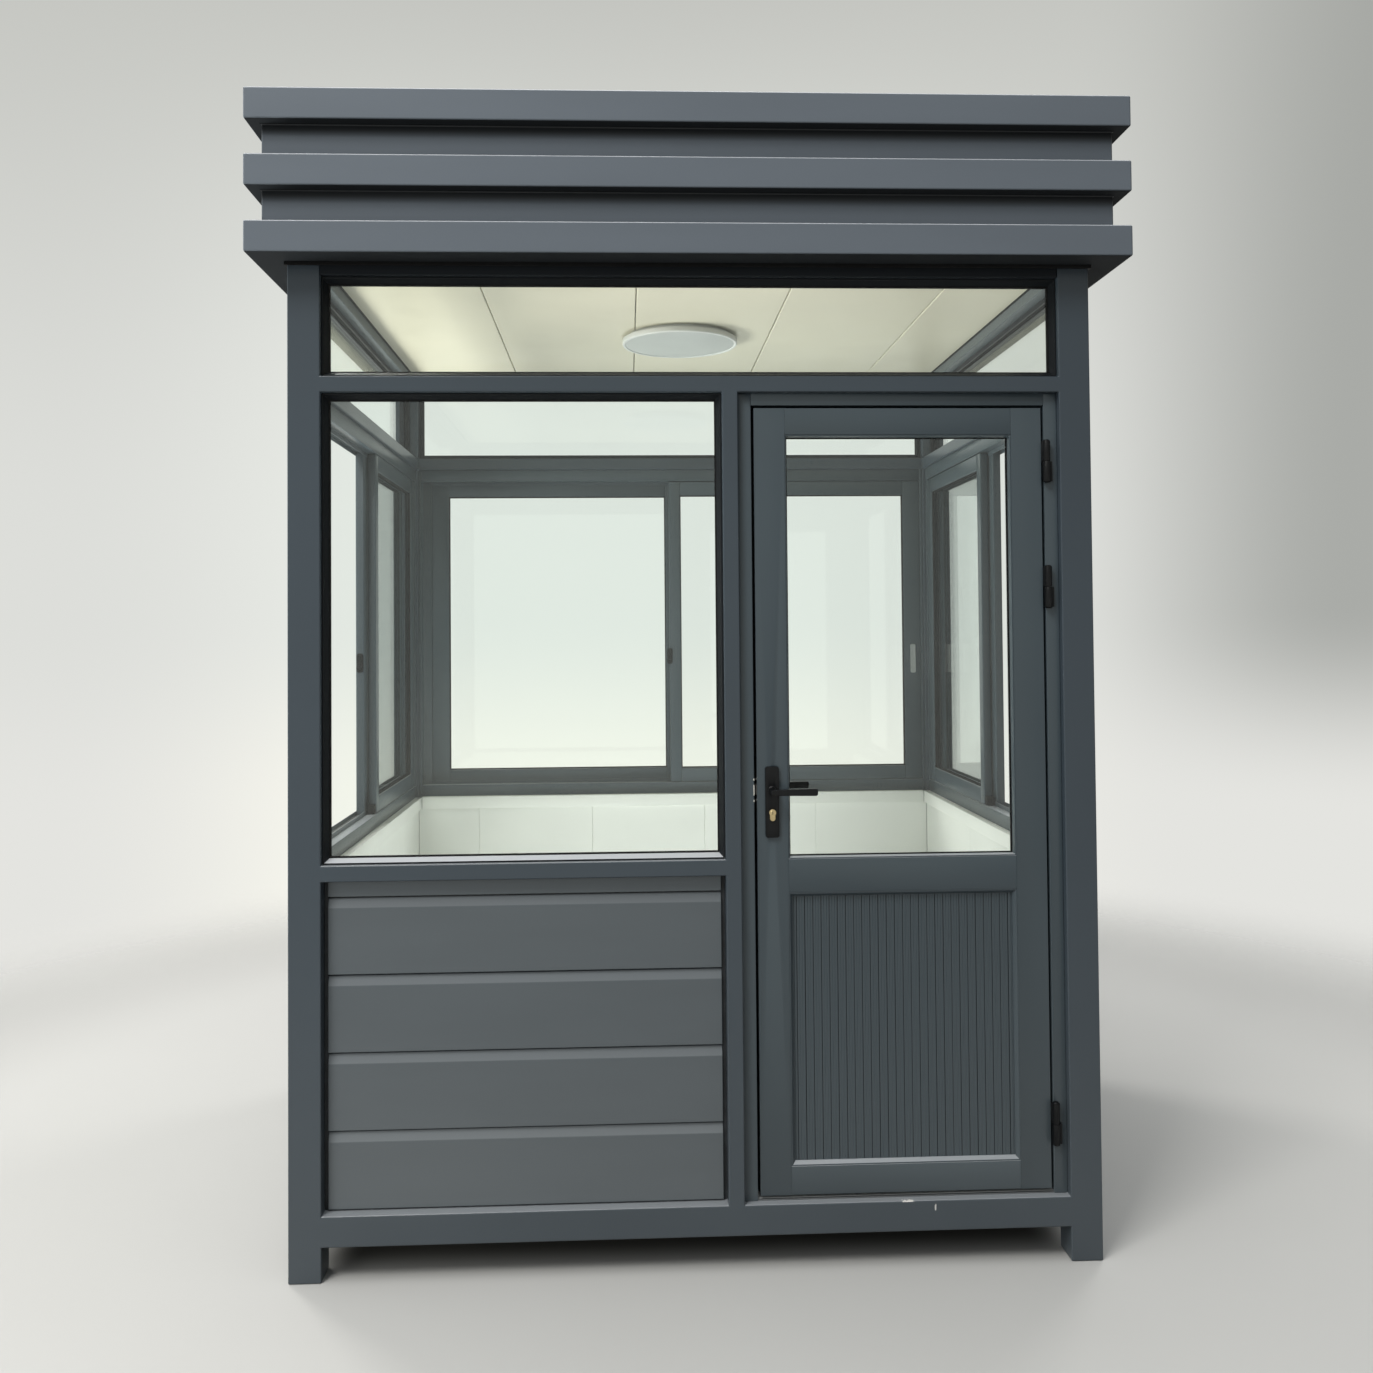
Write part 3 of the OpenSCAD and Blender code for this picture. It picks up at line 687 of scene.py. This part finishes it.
def build_frame():
    nodes = ("corner_posts", "base_rails", "sill_rails", "mid_rails", "door_mullion")
    boxes = boxes_of("corner_posts") + boxes_of("door_mullion")
    for wall in WALLS:
        across = WALLS[wall][2]
        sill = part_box(wall + "_siding")[1].z
        for low, high in (heights("base_rails"), heights("mid_rails"), (sill, sill + SILL_RAIL)):
            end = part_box("door_mullion")[0].x if wall == "front" and low == sill else across
            ends = [on_wall(wall) @ Vector(spot) for spot in ((-across, 0, low), (end, POST, high))]
            corners = [Vector([pick(spot[i] for spot in ends) for i in range(3)]) for pick in (min, max)]
            boxes.append(corners)
    piece("welded_frame", fused(boxes), frame_coat, "steel", nodes, soft=0.0035, steps=3)
    # Header bars: their outer faces are painted shade under the fascia, and their room side is lit.
    low, high = heights("header_rails")
    bars = bmesh.new()
    for wall in WALLS:
        across = WALLS[wall][2]
        bm = bmesh.new()
        block(bm, (-across, 0, low), (across, POST, high))
        move_in(bm, bars, wall)
    piece("header_bars", bars, shaded_header_coat, "steel", ("header_rails",), soft=0.003)
    dressed("floor_beams", "floor_joists", frame_coat, "steel", 0.003)
    dressed("floor_sheet", "floor_panel", floor_finish, "floor", 0.001)


def build_roof():
    reach, back = 0.082, 0.048
    section = [(0.0, FASCIA_LOW)]
    for k in range(3):
        foot = FASCIA_LOW + k * BAND_PITCH
        section += [(-reach, foot), (-reach, foot + BAND)]
        if k < 2:
            section += [(-back, foot + BAND), (-back, foot + BAND + BAND_GAP)]
    section.append((0.0, section[-1][1]))
    bm = bmesh.new()
    mitred_ring(bm, (-HALF_W, -HALF_D), (HALF_W, HALF_D), 2, section)
    bands = ("front_fascia", "rear_fascia", "left_fascia", "right_fascia")
    piece("fascia_bands", bm, fascia_coat, "steel", bands, soft=0.0045, steps=3)
    width, drop = 0.006, 0.009
    strip = [(0, FASCIA_LOW), (-width, FASCIA_LOW), (-width, FASCIA_LOW - drop), (0, FASCIA_LOW - drop)]
    bm = bmesh.new()
    mitred_ring(bm, (-HALF_W, -HALF_D), (HALF_W, HALF_D), 2, strip)
    piece("eaves_seal", bm, rubber_black, None, soft=0.0015)
    dressed("roof_sheet", "roof_deck", roof_finish, "steel", 0.003)
    low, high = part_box("roof_deck")
    top, ridge = high.z, high.z + 0.022
    bm = bmesh.new()
    bar(bm, [(-0.006, top), (-0.004, ridge), (0.004, ridge), (0.006, top)], low.y, high.y, 1)
    bm = row_of(bm, roof_finish, 6, (0.36, 0, 0), (-0.9, 0, 0))
    piece("roof_seams", bm, roof_finish, "steel", soft=0.002)
    curb, skirt, sheet = 0.05, 0.012, 0.004
    flashing = [(0, top), (0, top + curb), (sheet, top + curb), (sheet, top + skirt), (curb, top + sheet),
                (curb, top)]
    bm = bmesh.new()
    mitred_ring(bm, low, high, 2, flashing)
    piece("roof_flashing", bm, roof_finish, "steel", soft=0.0008)


# Walls

def build_siding():
    board, slope, step, face, edge, slit, tongue = 0.190, 0.024, 0.008, 0.028, 0.010, 0.004, 0.015
    rows = 4
    for wall in WALLS:
        node = wall + "_siding"
        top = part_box(node)[1].z
        span = WALLS[wall][2]
        start = -span + edge
        end = (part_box(node)[1].x if wall == "front" else span) - edge
        bm = bmesh.new()
        outline = [(face, BASE_TOP + slit), (face, BASE_TOP + board - slope),
                   (face + step, BASE_TOP + board), (BOARD_BACK, BASE_TOP + board), (BOARD_BACK, BASE_TOP),
                   (face + tongue, BASE_TOP), (face + tongue, BASE_TOP + slit)]
        bar(bm, outline, start, end, 0)
        bm = row_of(bm, board_coat, rows, (0, 0, board))
        block(bm, (start, face, BASE_TOP + rows * board + slit), (end, BOARD_BACK, top))
        bm.transform(on_wall(wall))
        piece(wall + "_boards", bm, board_coat, "siding", (node,), soft=0.0018)
        bm = bmesh.new()
        block(bm, (start - edge, face + step, BASE_TOP), (start, BOARD_BACK, top))
        block(bm, (end, face + step, BASE_TOP), (end + edge, BOARD_BACK, top))
        bm.transform(on_wall(wall))
        piece(wall + "_board_ends", bm, sealant_grey, "siding", soft=0.001)


def build_linings():
    pitch, first, least = 0.406, -0.705, 0.02
    bm = bmesh.new()
    for wall in WALLS:
        span = WALLS[wall][2]
        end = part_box("front_siding")[1].x if wall == "front" else span
        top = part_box(wall + "_siding")[1].z
        turn = -1 if wall == "rear" else 1
        joints = sorted(turn * (first + pitch * k) for k in range(-1, 6))
        stops = [-span] + [x for x in joints if -span + least < x < end - least] + [end]
        boards = bmesh.new()
        for left, right in zip(stops, stops[1:]):
            block(boards, (left, BOARD_BACK, BASE_TOP), (right, POST, top))
        move_in(boards, bm, wall)
    piece("lining_boards", bm, white_lining, "lining", ("wall_linings",), soft=0.0022)
    bm = copy_of("lining_caps")
    for wall in ("rear", "left", "right"):
        flange = bmesh.new()
        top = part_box(wall + "_siding")[1].z + SILL_RAIL
        reach = WALLS[wall][2] - 0.013
        block(flange, (-reach, 0.0705, top + 0.0002), (reach, POST + 0.0128, top + 0.0022))
        move_in(flange, bm, wall)
    piece("lining_strips", bm, white_lining, "lining", ("lining_caps",), soft=0.0008)
    low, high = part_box("ceiling_panel")
    pitch, first, slit = 0.414, -0.553, 0.001
    stops = [low.x] + [first + pitch * k for k in range(4)] + [high.x]
    bm = bmesh.new()
    for left, right in zip(stops, stops[1:]):
        block(bm, (left + slit, low.y, low.z), (right - slit, high.y, high.z))
    piece("ceiling_boards", bm, cream_ceiling, "lining", ("ceiling_panel",), soft=0.003)
    bm = bmesh.new()
    drop = low.z - 0.004
    mitred_ring(bm, low, high, 2, [(0, low.z), (0, drop), (0.002, drop), (0.005, low.z)])
    piece("ceiling_seal", bm, rubber_black, None, soft=0.0006)


def build_lamp():
    low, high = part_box("lamp_diffuser")
    base_low, base_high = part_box("lamp_base")
    centre = (0, 0, 0)
    steps = 96
    radius = high.x
    bm = bmesh.new()
    turned(bm, [(0, base_high.z), (base_high.x, base_high.z), (base_high.x, base_low.z + 0.002),
                (radius - 0.002, base_low.z), (0, base_low.z)], centre, 2, steps)
    smooth_piece("lamp_pan", bm, lamp_enamel, "lamp_metal", ("lamp_base",))
    bulge, rings = 0.016, 14
    globe = (radius * radius + bulge * bulge) / (2 * bulge)
    inner = radius - 0.010
    dome = [(0, low.z)]
    for k in range(1, rings + 1):
        r = inner * k / rings
        dome.append((r, low.z + globe - math.sqrt(globe * globe - r * r)))
    last = dome[-1][1]
    bm = bmesh.new()
    turned(bm, dome + [(inner, high.z), (0, high.z)], centre, 2, steps)
    smooth_piece("lamp_dome", bm, lamp_opal, "diffuser", ("lamp_diffuser",))
    bm = bmesh.new()
    ring = [(0, high.z), (radius, high.z), (radius, last + 0.001), (radius - 0.002, last - 0.002),
            (radius - 0.008, last - 0.002), (inner, last + 0.001), (0, last + 0.001)]
    turned(bm, ring, centre, 2, steps)
    smooth_piece("lamp_rim", bm, lamp_enamel, "lamp_metal")


# Glazing

def gaskets(name, node, cover, width, thick, body="booth"):
    """Rubber rings on both faces of each pane, just inside the bars that hold it."""
    bm = bmesh.new()
    for low, high in boxes_of(node):
        size = high - low
        axis = min(range(3), key=lambda i: size[i])
        for face, side in ((low[axis], -1), (high[axis], 1)):
            lip = [(cover - 0.003, face), (cover - 0.003, face + side * thick),
                   (cover + width * 0.4, face + side * thick), (cover + width, face + side * 0.0008),
                   (cover + width, face)]
            mitred_ring(bm, low, high, axis, lip)
    piece(name, bm, rubber_black, None, body=body)


def bead_pair(bm, low, high):
    """Sloped outer bead and square inner bead of one fixed pane."""
    width = 0.014
    outer = [(0, 0.014), (0.004, 0.014), (width, 0.030), (width, 0.035), (0, 0.035)]
    inner = [(0, 0.041), (width, 0.041), (width, 0.051), (0, 0.051)]
    for section in (outer, inner):
        mitred_ring(bm, low, high, 1, section)


def build_glazing():
    for node in ("transom_panes", "front_window_pane", "sash_panes", "door_pane"):
        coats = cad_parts[node].data.materials
        coats.clear()
        coats.append(glass)
    mid_low, mid_high = heights("mid_rails")
    bars = bmesh.new()
    for wall in WALLS:
        span = WALLS[wall][2]
        bm = bmesh.new()
        bead_pair(bm, (-span, 0, mid_high), (span, 0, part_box("header_rails")[0].z))
        move_in(bm, bars, wall)
    piece("transom_bead_bars", bars, bead_coat, "steel", ("transom_beads",), soft=0.001)
    bm = bmesh.new()
    bead_pair(bm, (-IN_W, 0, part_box("sill_rails")[1].z), (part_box("door_mullion")[0].x, 0, mid_low))
    bm.transform(on_wall("front"))
    piece("window_bead_bars", bm, bead_coat, "steel", ("front_window_beads",), soft=0.001)
    gaskets("transom_gaskets", "transom_panes", 0.010, 0.003, 0.005)
    gaskets("front_gaskets", "front_window_pane", 0.010, 0.003, 0.005)
    gaskets("sash_gaskets", "sash_panes", 0.008, 0.004, 0.006)
    gaskets("door_gasket", "door_pane", 0.0125, 0.003, 0.004, "door")


def build_windows():
    for name, node, soft in (("window_side_frames", "window_jambs", 0.0016),
                             ("window_runners", "window_tracks", 0.0016),
                             ("sash_uprights", "sash_stiles", 0.003),
                             ("sash_crossbars", "sash_rails", 0.003)):
        dressed(name, node, alloy_coat, "alloy", soft)
    low, high = heights("sash_stiles")
    fins = bmesh.new()
    thick = 0.002
    for wall in ("rear", "left", "right"):
        bm = bmesh.new()
        reach = WALLS[wall][2] - 0.042
        for near in (0.0105, 0.039):
            block(bm, (-reach, near, low - 0.002), (reach, near + thick, low + 0.012))
            block(bm, (-reach, near, high - 0.010), (reach, near + thick, high + 0.004))
        move_in(bm, fins, wall)
    piece("track_fins", fins, alloy_coat, "alloy", soft=0.0006)
    bm = bmesh.new()
    for side in (-1, 1):
        near, far = sorted((side * 0.986, side * 0.963))
        block(bm, (near, -0.627, low - 0.001), (far, -0.052, low + 0.0008))
    piece("runner_strips", bm, strip_alloy, "pull_metal", soft=0.0003)


def back_middle(low, high):
    """Middle of a fitting's back, which is its far side in y."""
    return (low.x + high.x) / 2, high.y, (low.z + high.z) / 2


def build_window_fittings():
    latches = bmesh.new()
    arm = [(-0.0065, -0.012), (0.0065, -0.012), (0.009, 0.006), (0.006, 0.024), (0.001, 0.027),
           (-0.003, 0.022)]
    for low, high in boxes_of("window_locks"):
        x, y, z = back_middle(low, high)
        bar(latches, rounded(0.020, 0.058, 0.008, (x, z)), y - 0.0035, y, 1)
        bar(latches, rounded(0.015, 0.015, 0.0074, (x, z - 0.006)), y - 0.0085, y - 0.003, 1)
        bar(latches, [(x + across, z + up) for across, up in arm], y - 0.0118, y - 0.0075, 1)
    piece("sash_latches", latches, fitting_black, "black_metal", ("window_locks",), soft=0.0012)
    x, y, z = back_middle(*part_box("window_pull"))
    bm = bmesh.new()
    plate = rounded(0.019, 0.105, 0.006, (x, z))
    bar(bm, plate, y - 0.0015, y, 1)
    rim(bm, plate, rounded(0.0125, 0.0965, 0.004, (x, z)), y, y - 0.0048)
    block(bm, (x - 0.006, y - 0.004, z - 0.005), (x + 0.006, y, z + 0.005))
    piece("sash_pull", bm, pull_alloy, "pull_metal", ("window_pull",), soft=0.0006)
    bm = bmesh.new()
    for side in (-1, 1):
        bar(bm, rounded(0.023, 0.028, 0.005, (side * 0.9458, 1.041)), -0.040, -0.0142, 1)
    piece("sash_stops", bm, rubber_black, None, soft=0.002)


# Doorway and door

DOOR_LOW, DOOR_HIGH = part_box("door_stiles")
FRONT, BACK = DOOR_LOW.y, DOOR_HIGH.y
HINGE_X, HINGE_Y = 0.889, -0.7405
LEVER_X, LEVER_Z = 0.187, 1.173
PLATE = 0.008
JAMB_LEFT = 0.143


def build_doorway():
    dressed("door_side_frames", "door_jambs", alloy_coat, "alloy", 0.0018)
    dressed("door_top_frame", "door_head", alloy_coat, "alloy", 0.0018)
    low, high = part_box("door_threshold")
    ribs, pitch, edge, dip = 6, 0.0064, 0.003, 0.0016
    outline = [(low.y, low.z), (low.y, low.z + edge)]
    for k in range(ribs):
        start = low.y + 0.004 + k * pitch
        outline += [(start, high.z - dip), (start + 0.001, high.z), (start + 0.0044, high.z),
                    (start + 0.0054, high.z - dip)]
    outline += [(high.y, low.z + edge), (high.y, low.z)]
    bm = bmesh.new()
    bar(bm, outline, low.x, high.x, 0)
    piece("door_sill_strip", bm, strip_alloy, "threshold", ("door_threshold",), soft=0.0003)
    near, far = -0.683, -0.680
    foot, under, top = BASE_TOP + 0.008, 2.118, 2.134
    bm = bmesh.new()
    block(bm, (0.1435, near, foot), (0.160, far, top))
    block(bm, (0.869, near, foot), (0.8855, far, top))
    block(bm, (0.160, near, under), (0.869, far, top))
    piece("door_seals", bm, rubber_black, None, soft=0.001)


def build_hinges():
    for name, node, body in (("hinge_lower_halves", "hinge_pins", "booth"),
                             ("hinge_upper_halves", "hinge_sleeves", "door")):
        bm = copy_of(node)
        for low, high in boxes_of(node):
            end, way = (low.z, -1) if body == "booth" else (high.z, 1)
            cap = [(0, -0.001 * way), (0.0085, -0.001 * way), (0.0085, 0.0012 * way), (0.006, 0.0036 * way),
                   (0, 0.0044 * way)]
            turned(bm, cap, (HINGE_X, HINGE_Y, end), 2, 32)
        piece(name, bm, fitting_black, "black_metal", (node,), body, soft=0.0002)


def build_door():
    dressed("leaf_stiles", "door_stiles", alloy_coat, "alloy", 0.0012, "door")
    dressed("leaf_rails", "door_rails", alloy_coat, "alloy", 0.0012, "door")
    light = ((0.227, 0, 1.001), (0.802, 0, 2.061))
    lower = ((0.227, 0, 0.243), (0.802, 0, 0.917))
    bm = bmesh.new()
    for (low, high), near, far, wide in ((light, -0.711, -0.705, 0.0055), (lower, -0.716, -0.700, 0.010)):
        for face, edge, way in ((near, FRONT, 1), (far, BACK, -1)):
            bead = [(0, edge + 0.0012 * way), (0.003, edge + 0.0012 * way),
                    (wide, face - 0.004 * way), (wide, face), (0, face)]
            mitred_ring(bm, low, high, 1, bead)
    piece("leaf_beads", bm, alloy_coat, "alloy", body="door", soft=0.001)
    build_reeds()


def build_reeds():
    """Lower panel of the door: strips of three reeds on both faces of a sheet, darkened as painted shade in
    the grooves between the strips.
    """
    low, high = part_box("door_panel")
    strips, margin, rise = 28, 0.008, 0.002
    width = (high.x - low.x - 2 * margin) / strips
    reed = width / 3
    outline = [(0.0008, 0), (0.0010, -0.0016), (0.0018, -rise)]
    for k in (1, 2):
        outline += [(k * reed - 0.0008, -rise), (k * reed, -0.0010), (k * reed + 0.0008, -rise)]
    outline += [(width - 0.0018, -rise), (width - 0.0010, -0.0016), (width - 0.0008, 0)]
    bm = bmesh.new()
    bar(bm, outline, low.z, high.z, 2)
    first, play = (low.x + margin, low.y + rise, 0), (0.0003, 0.0002, 0)
    bm = row_of(bm, alloy_coat, strips, (width, 0, 0), first, play, 7)
    other_face = bm.copy()
    other_face.transform(Matrix.Diagonal((1, -1, 1, 1)))
    other_face.transform(Matrix.Translation((0, low.y + high.y, 0)))
    add_to(bm, other_face)
    piece("reeded_panel", bm, alloy_coat, "siding", ("door_panel",), "door")
    # The sheet behind the strips gets a dark coat: painted shade in the grooves.
    bm = bmesh.new()
    block(bm, (low.x, low.y + 0.0015, low.z), (high.x, high.y - 0.0015, high.z))
    piece("reed_backing", bm, bead_coat, "siding", body="door")


def build_lock():
    dressed("lock_plates", "handle_plates", fitting_black, "black_metal", 0.0018, "door")
    bm = bmesh.new()
    head = [(0, 0), (0.0042, 0), (0.0042, 0.0012), (0.0030, 0.0022), (0, 0.0026)]
    turned(bm, head, (LEVER_X, BACK + PLATE, 0), 1, 24)
    bm = row_of(bm, plate_steel, 2, (0, 0, 0.152), (0, 0, 1.068))
    piece("plate_screws", bm, plate_steel, None, body="door", soft=0.0003)
    dressed("key_cylinder", "lock_cylinder", key_brass, "brass", 0.0003, "door")
    low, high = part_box("lock_cylinder")
    centre_z = high.z - 0.0085
    plug = bmesh.new()
    slot = bmesh.new()
    for face, way in ((low.y, -1), (high.y, 1)):
        disc = [(0, -0.0005 * way), (0.0058, -0.0005 * way), (0.0058, 0.0005 * way), (0.0050, 0.0010 * way),
                (0, 0.0010 * way)]
        turned(plug, disc, (LEVER_X, face, centre_z), 1, 32)
        near, far = sorted((face, face + 0.0013 * way))
        bar(slot, rounded(0.0016, 0.0080, 0.0007, (LEVER_X, centre_z)), near, far, 1)
    smooth_piece("key_plug", plug, key_brass, "brass", body="door")
    piece("key_slot", slot, rubber_black, None, body="door")


def build_lever():
    grip = [(-0.0050, 0.0064), (-0.0085, 0.0025), (-0.0085, -0.0035), (-0.0050, -0.0074),
            (0.060, -0.0085), (0.1035, -0.0090), (0.1070, -0.0055), (0.1070, 0.0055),
            (0.1035, 0.0090), (0.060, 0.0080)]
    necks = bmesh.new()
    bm = bmesh.new()
    for face, way in ((FRONT - PLATE, -1), (BACK + PLATE, 1)):
        neck = [(0, 0.0006 * way), (0.0110, 0.0006 * way), (0.0110, 0.0030 * way), (0.0085, 0.0050 * way),
                (0.0080, 0.0380 * way), (0.0080, 0.0460 * way), (0, 0.0460 * way)]
        turned(necks, neck, (LEVER_X, face, LEVER_Z), 1, 40)
        near, far = sorted((face + 0.039 * way, face + 0.051 * way))
        bar(bm, [(LEVER_X + x, LEVER_Z + z) for x, z in grip], near, far, 1)
    radius, start, end = 0.006, FRONT - 0.010, BACK + 0.010
    turned(necks, [(0, start), (radius, start), (radius, end), (0, end)], (LEVER_X, 0, LEVER_Z), 1, 32)
    piece("lever_handles", bm, fitting_black, "black_metal", ("door_lever",), "lever", 0.0018, 3)
    smooth_piece("lever_necks", necks, fitting_black, "black_metal", body="lever")


def build_latch():
    """Latch in the gap beside the leaf: a tongue on the leaf and its keeper on the jamb."""
    edge = DOOR_LOW.x - 0.0012
    bm = bmesh.new()
    block(bm, (edge, -0.720, 1.055), (DOOR_LOW.x + 0.001, -0.698, 1.255))
    piece("latch_face", bm, fitting_black, None, body="door", soft=0.0006)
    tongue = [(edge, -0.727), (edge - 0.0022, -0.725), (edge - 0.0028, -0.711), (edge, -0.709)]
    screw = [(0, 0.0004), (0.0032, 0.0004), (0.0028, -0.0010), (0, -0.0012)]
    bm = bmesh.new()
    bar(bm, tongue, 1.161, 1.187, 2)
    for height in (1.148, 1.200):
        turned(bm, screw, (edge, -0.720, height), 0, 20)
    piece("latch_tongue", bm, plate_steel, None, body="door", soft=0.0004)
    near, far = -0.728, -0.690
    sunk, face = JAMB_LEFT - 0.001, JAMB_LEFT + 0.0010
    bm = bmesh.new()
    for low, high in ((1.120, 1.158), (1.190, 1.228)):
        block(bm, (sunk, near, low), (face, far, high))
    for start, end in ((near, -0.720), (-0.698, far)):
        block(bm, (sunk, start, 1.158), (face, end, 1.190))
    piece("latch_keeper", bm, fitting_black, None, soft=0.0004)
    bm = bmesh.new()
    for low, high in ((1.144, 1.149), (1.160, 1.186), (1.197, 1.202)):
        block(bm, (JAMB_LEFT - 0.0024, FRONT - 0.0010, low), (JAMB_LEFT + 0.0005, FRONT + 0.006, high))
    piece("keeper_lip", bm, plate_steel, None, soft=0.0003)


# Floor, backdrop and lamps of the studio

def seen_part(f):
    """One where the camera sees the studio, straight on, mirrored or through glass, and else none."""
    seen = 0.0
    for way in ("Is Camera Ray", "Is Glossy Ray", "Is Transmission Ray"):
        seen = f.math("MAXIMUM", f.add("ShaderNodeLightPath", out=way), seen)
    return seen


def build_floor():
    radius, low, high = 14, -0.02, -0.0004
    bm = bmesh.new()
    turned(bm, [(0, low), (radius, low), (radius, high), (0, high)], (0, 0, 0), 2, 96)
    bmesh.ops.recalc_face_normals(bm, faces=bm.faces[:])
    mesh = bpy.data.meshes.new("studio_floor")
    bm.to_mesh(mesh)
    bm.free()
    ground = bpy.data.objects.new("studio_floor", mesh)
    scene.collection.objects.link(ground)
    f = Finish("studio_floor")
    pale = f.mix(f.noise(0.8, 2.0), tone(192, 192, 189), tone(198, 198, 195))
    across, along = (f.math("ABSOLUTE", f.axis(i)) for i in (0, 1))
    # Painted shadow: the floor under the booth is darkened.
    booth_shadow = (1 - f.rise(across, 0.85, 1.02)) * (1 - f.rise(along, 0.58, 0.78))
    pale = f.mix(booth_shadow, pale, tone(88, 88, 84))
    colour = f.mix(seen_part(f), tone(106, 106, 104), pale)
    matte = f.add("ShaderNodeBsdfDiffuse", {}, {"Color": colour})
    clear = f.add("ShaderNodeBsdfTransparent")
    away = f.add("ShaderNodeVectorMath", {"operation": "LENGTH"}, {0: f.place()}, "Value")
    fade = f.rise(away, 2.3, 4.8)
    mesh.materials.append(f.end(f.add("ShaderNodeMixShader", {}, {0: fade, 1: matte, 2: clear})))


def build_backdrop():
    world = bpy.data.worlds.new("studio")
    world.use_nodes = True
    scene.world = world
    f = Finish("studio", world.node_tree)
    way = f.add("ShaderNodeTexCoord", out="Generated")
    height = f.add("ShaderNodeSeparateXYZ", {}, {0: way}, 2)
    across = f.add("ShaderNodeSeparateXYZ", {}, {0: way}, 0)
    aside = f.rise(f.math("ABSOLUTE", across), 0.12, 0.42)
    sky = f.mix(f.rise(height, 0.05, 0.60), tone(221, 222, 218), tone(190, 191, 186))
    sky = f.mix(f.rise(across, 0.32, 0.52) * 0.85, sky, tone(158, 160, 156))
    sky = f.mix((1 - aside) * (1 - f.rise(height, 0.1, 0.5)), sky, tone(236, 239, 233))
    ground = f.mix(aside, tone(255, 254, 243), tone(228, 228, 224))
    sky = f.mix(f.rise(height, -0.13, 0.02), ground, sky)
    dome = f.mix(f.rise(across, -0.8, 0.8), tone(242, 244, 246), tone(196, 200, 204))
    dome = f.mix(f.rise(height, -0.10, 0.12), tone(120, 119, 114), dome)
    glow = f.add("ShaderNodeBackground", {}, {"Color": dome, "Strength": 0.58})
    backdrop = f.add("ShaderNodeBackground", {}, {"Color": sky, "Strength": 1.0})
    both = f.add("ShaderNodeMixShader", {}, {0: seen_part(f), 1: glow, 2: backdrop})
    f.add("ShaderNodeOutputWorld", {}, {"Surface": both})


def softbox(name, place, aim, size, power, colour, spread=180, mirrored=False):
    """Adds a lamp with a flat square face, which the camera doesn't see."""
    data = bpy.data.lights.new(name, "AREA")
    data.shape = "RECTANGLE"
    data.size, data.size_y = size
    data.energy = power
    data.color = colour
    data.spread = math.radians(spread)
    lamp = bpy.data.objects.new(name, data)
    lamp.location = place
    lamp.rotation_euler = (Vector(aim) - Vector(place)).to_track_quat("-Z", "Y").to_euler()
    lamp.visible_camera = False
    lamp.visible_glossy = mirrored
    scene.collection.objects.link(lamp)


def build_lighting():
    plain, sun, warm = (1.0, 0.99, 0.97), (1.0, 0.985, 0.96), (1.0, 0.97, 0.93)
    amber, cool = (1.0, 0.97, 0.90), (0.97, 1.0, 0.99)
    softbox("overhead", (-0.4, -0.4, 7.0), (0, 0, 0.4), (5.0, 5.0), 170, plain, mirrored=True)
    softbox("left_front", (-3.6, -5.2, 8.2), (0, -0.5, 1.2), (3.0, 3.0), 460, sun, mirrored=True)
    softbox("left_fill", (-2.9, -3.1, 1.2), (-0.2, -0.75, 1.3), (1.8, 1.8), 34, sun)
    softbox("left_rear", (-6.5, 6.0, 5.2), (0, 0, 1.2), (2.4, 2.4), 420, warm)
    softbox("right_rear", (4.8, 4.6, 4.6), (1.2, 0.6, 0.6), (2.2, 2.2), 150, plain)
    softbox("left_ground", (-3.6, 0.2, 0.3), (-1.0, 0, 2.5), (2.0, 2.0), 150, amber, 110)
    softbox("room_bounce", (0, 0, 0.25), (0, 0, 2.0), (1.2, 0.8), 12, cool, 140)


for build in (build_frame, build_roof, build_siding, build_linings, build_lamp, build_glazing,
              build_windows, build_window_fittings, build_doorway, build_hinges, build_door, build_lock,
              build_lever, build_latch, build_floor, build_backdrop, build_lighting):
    build()
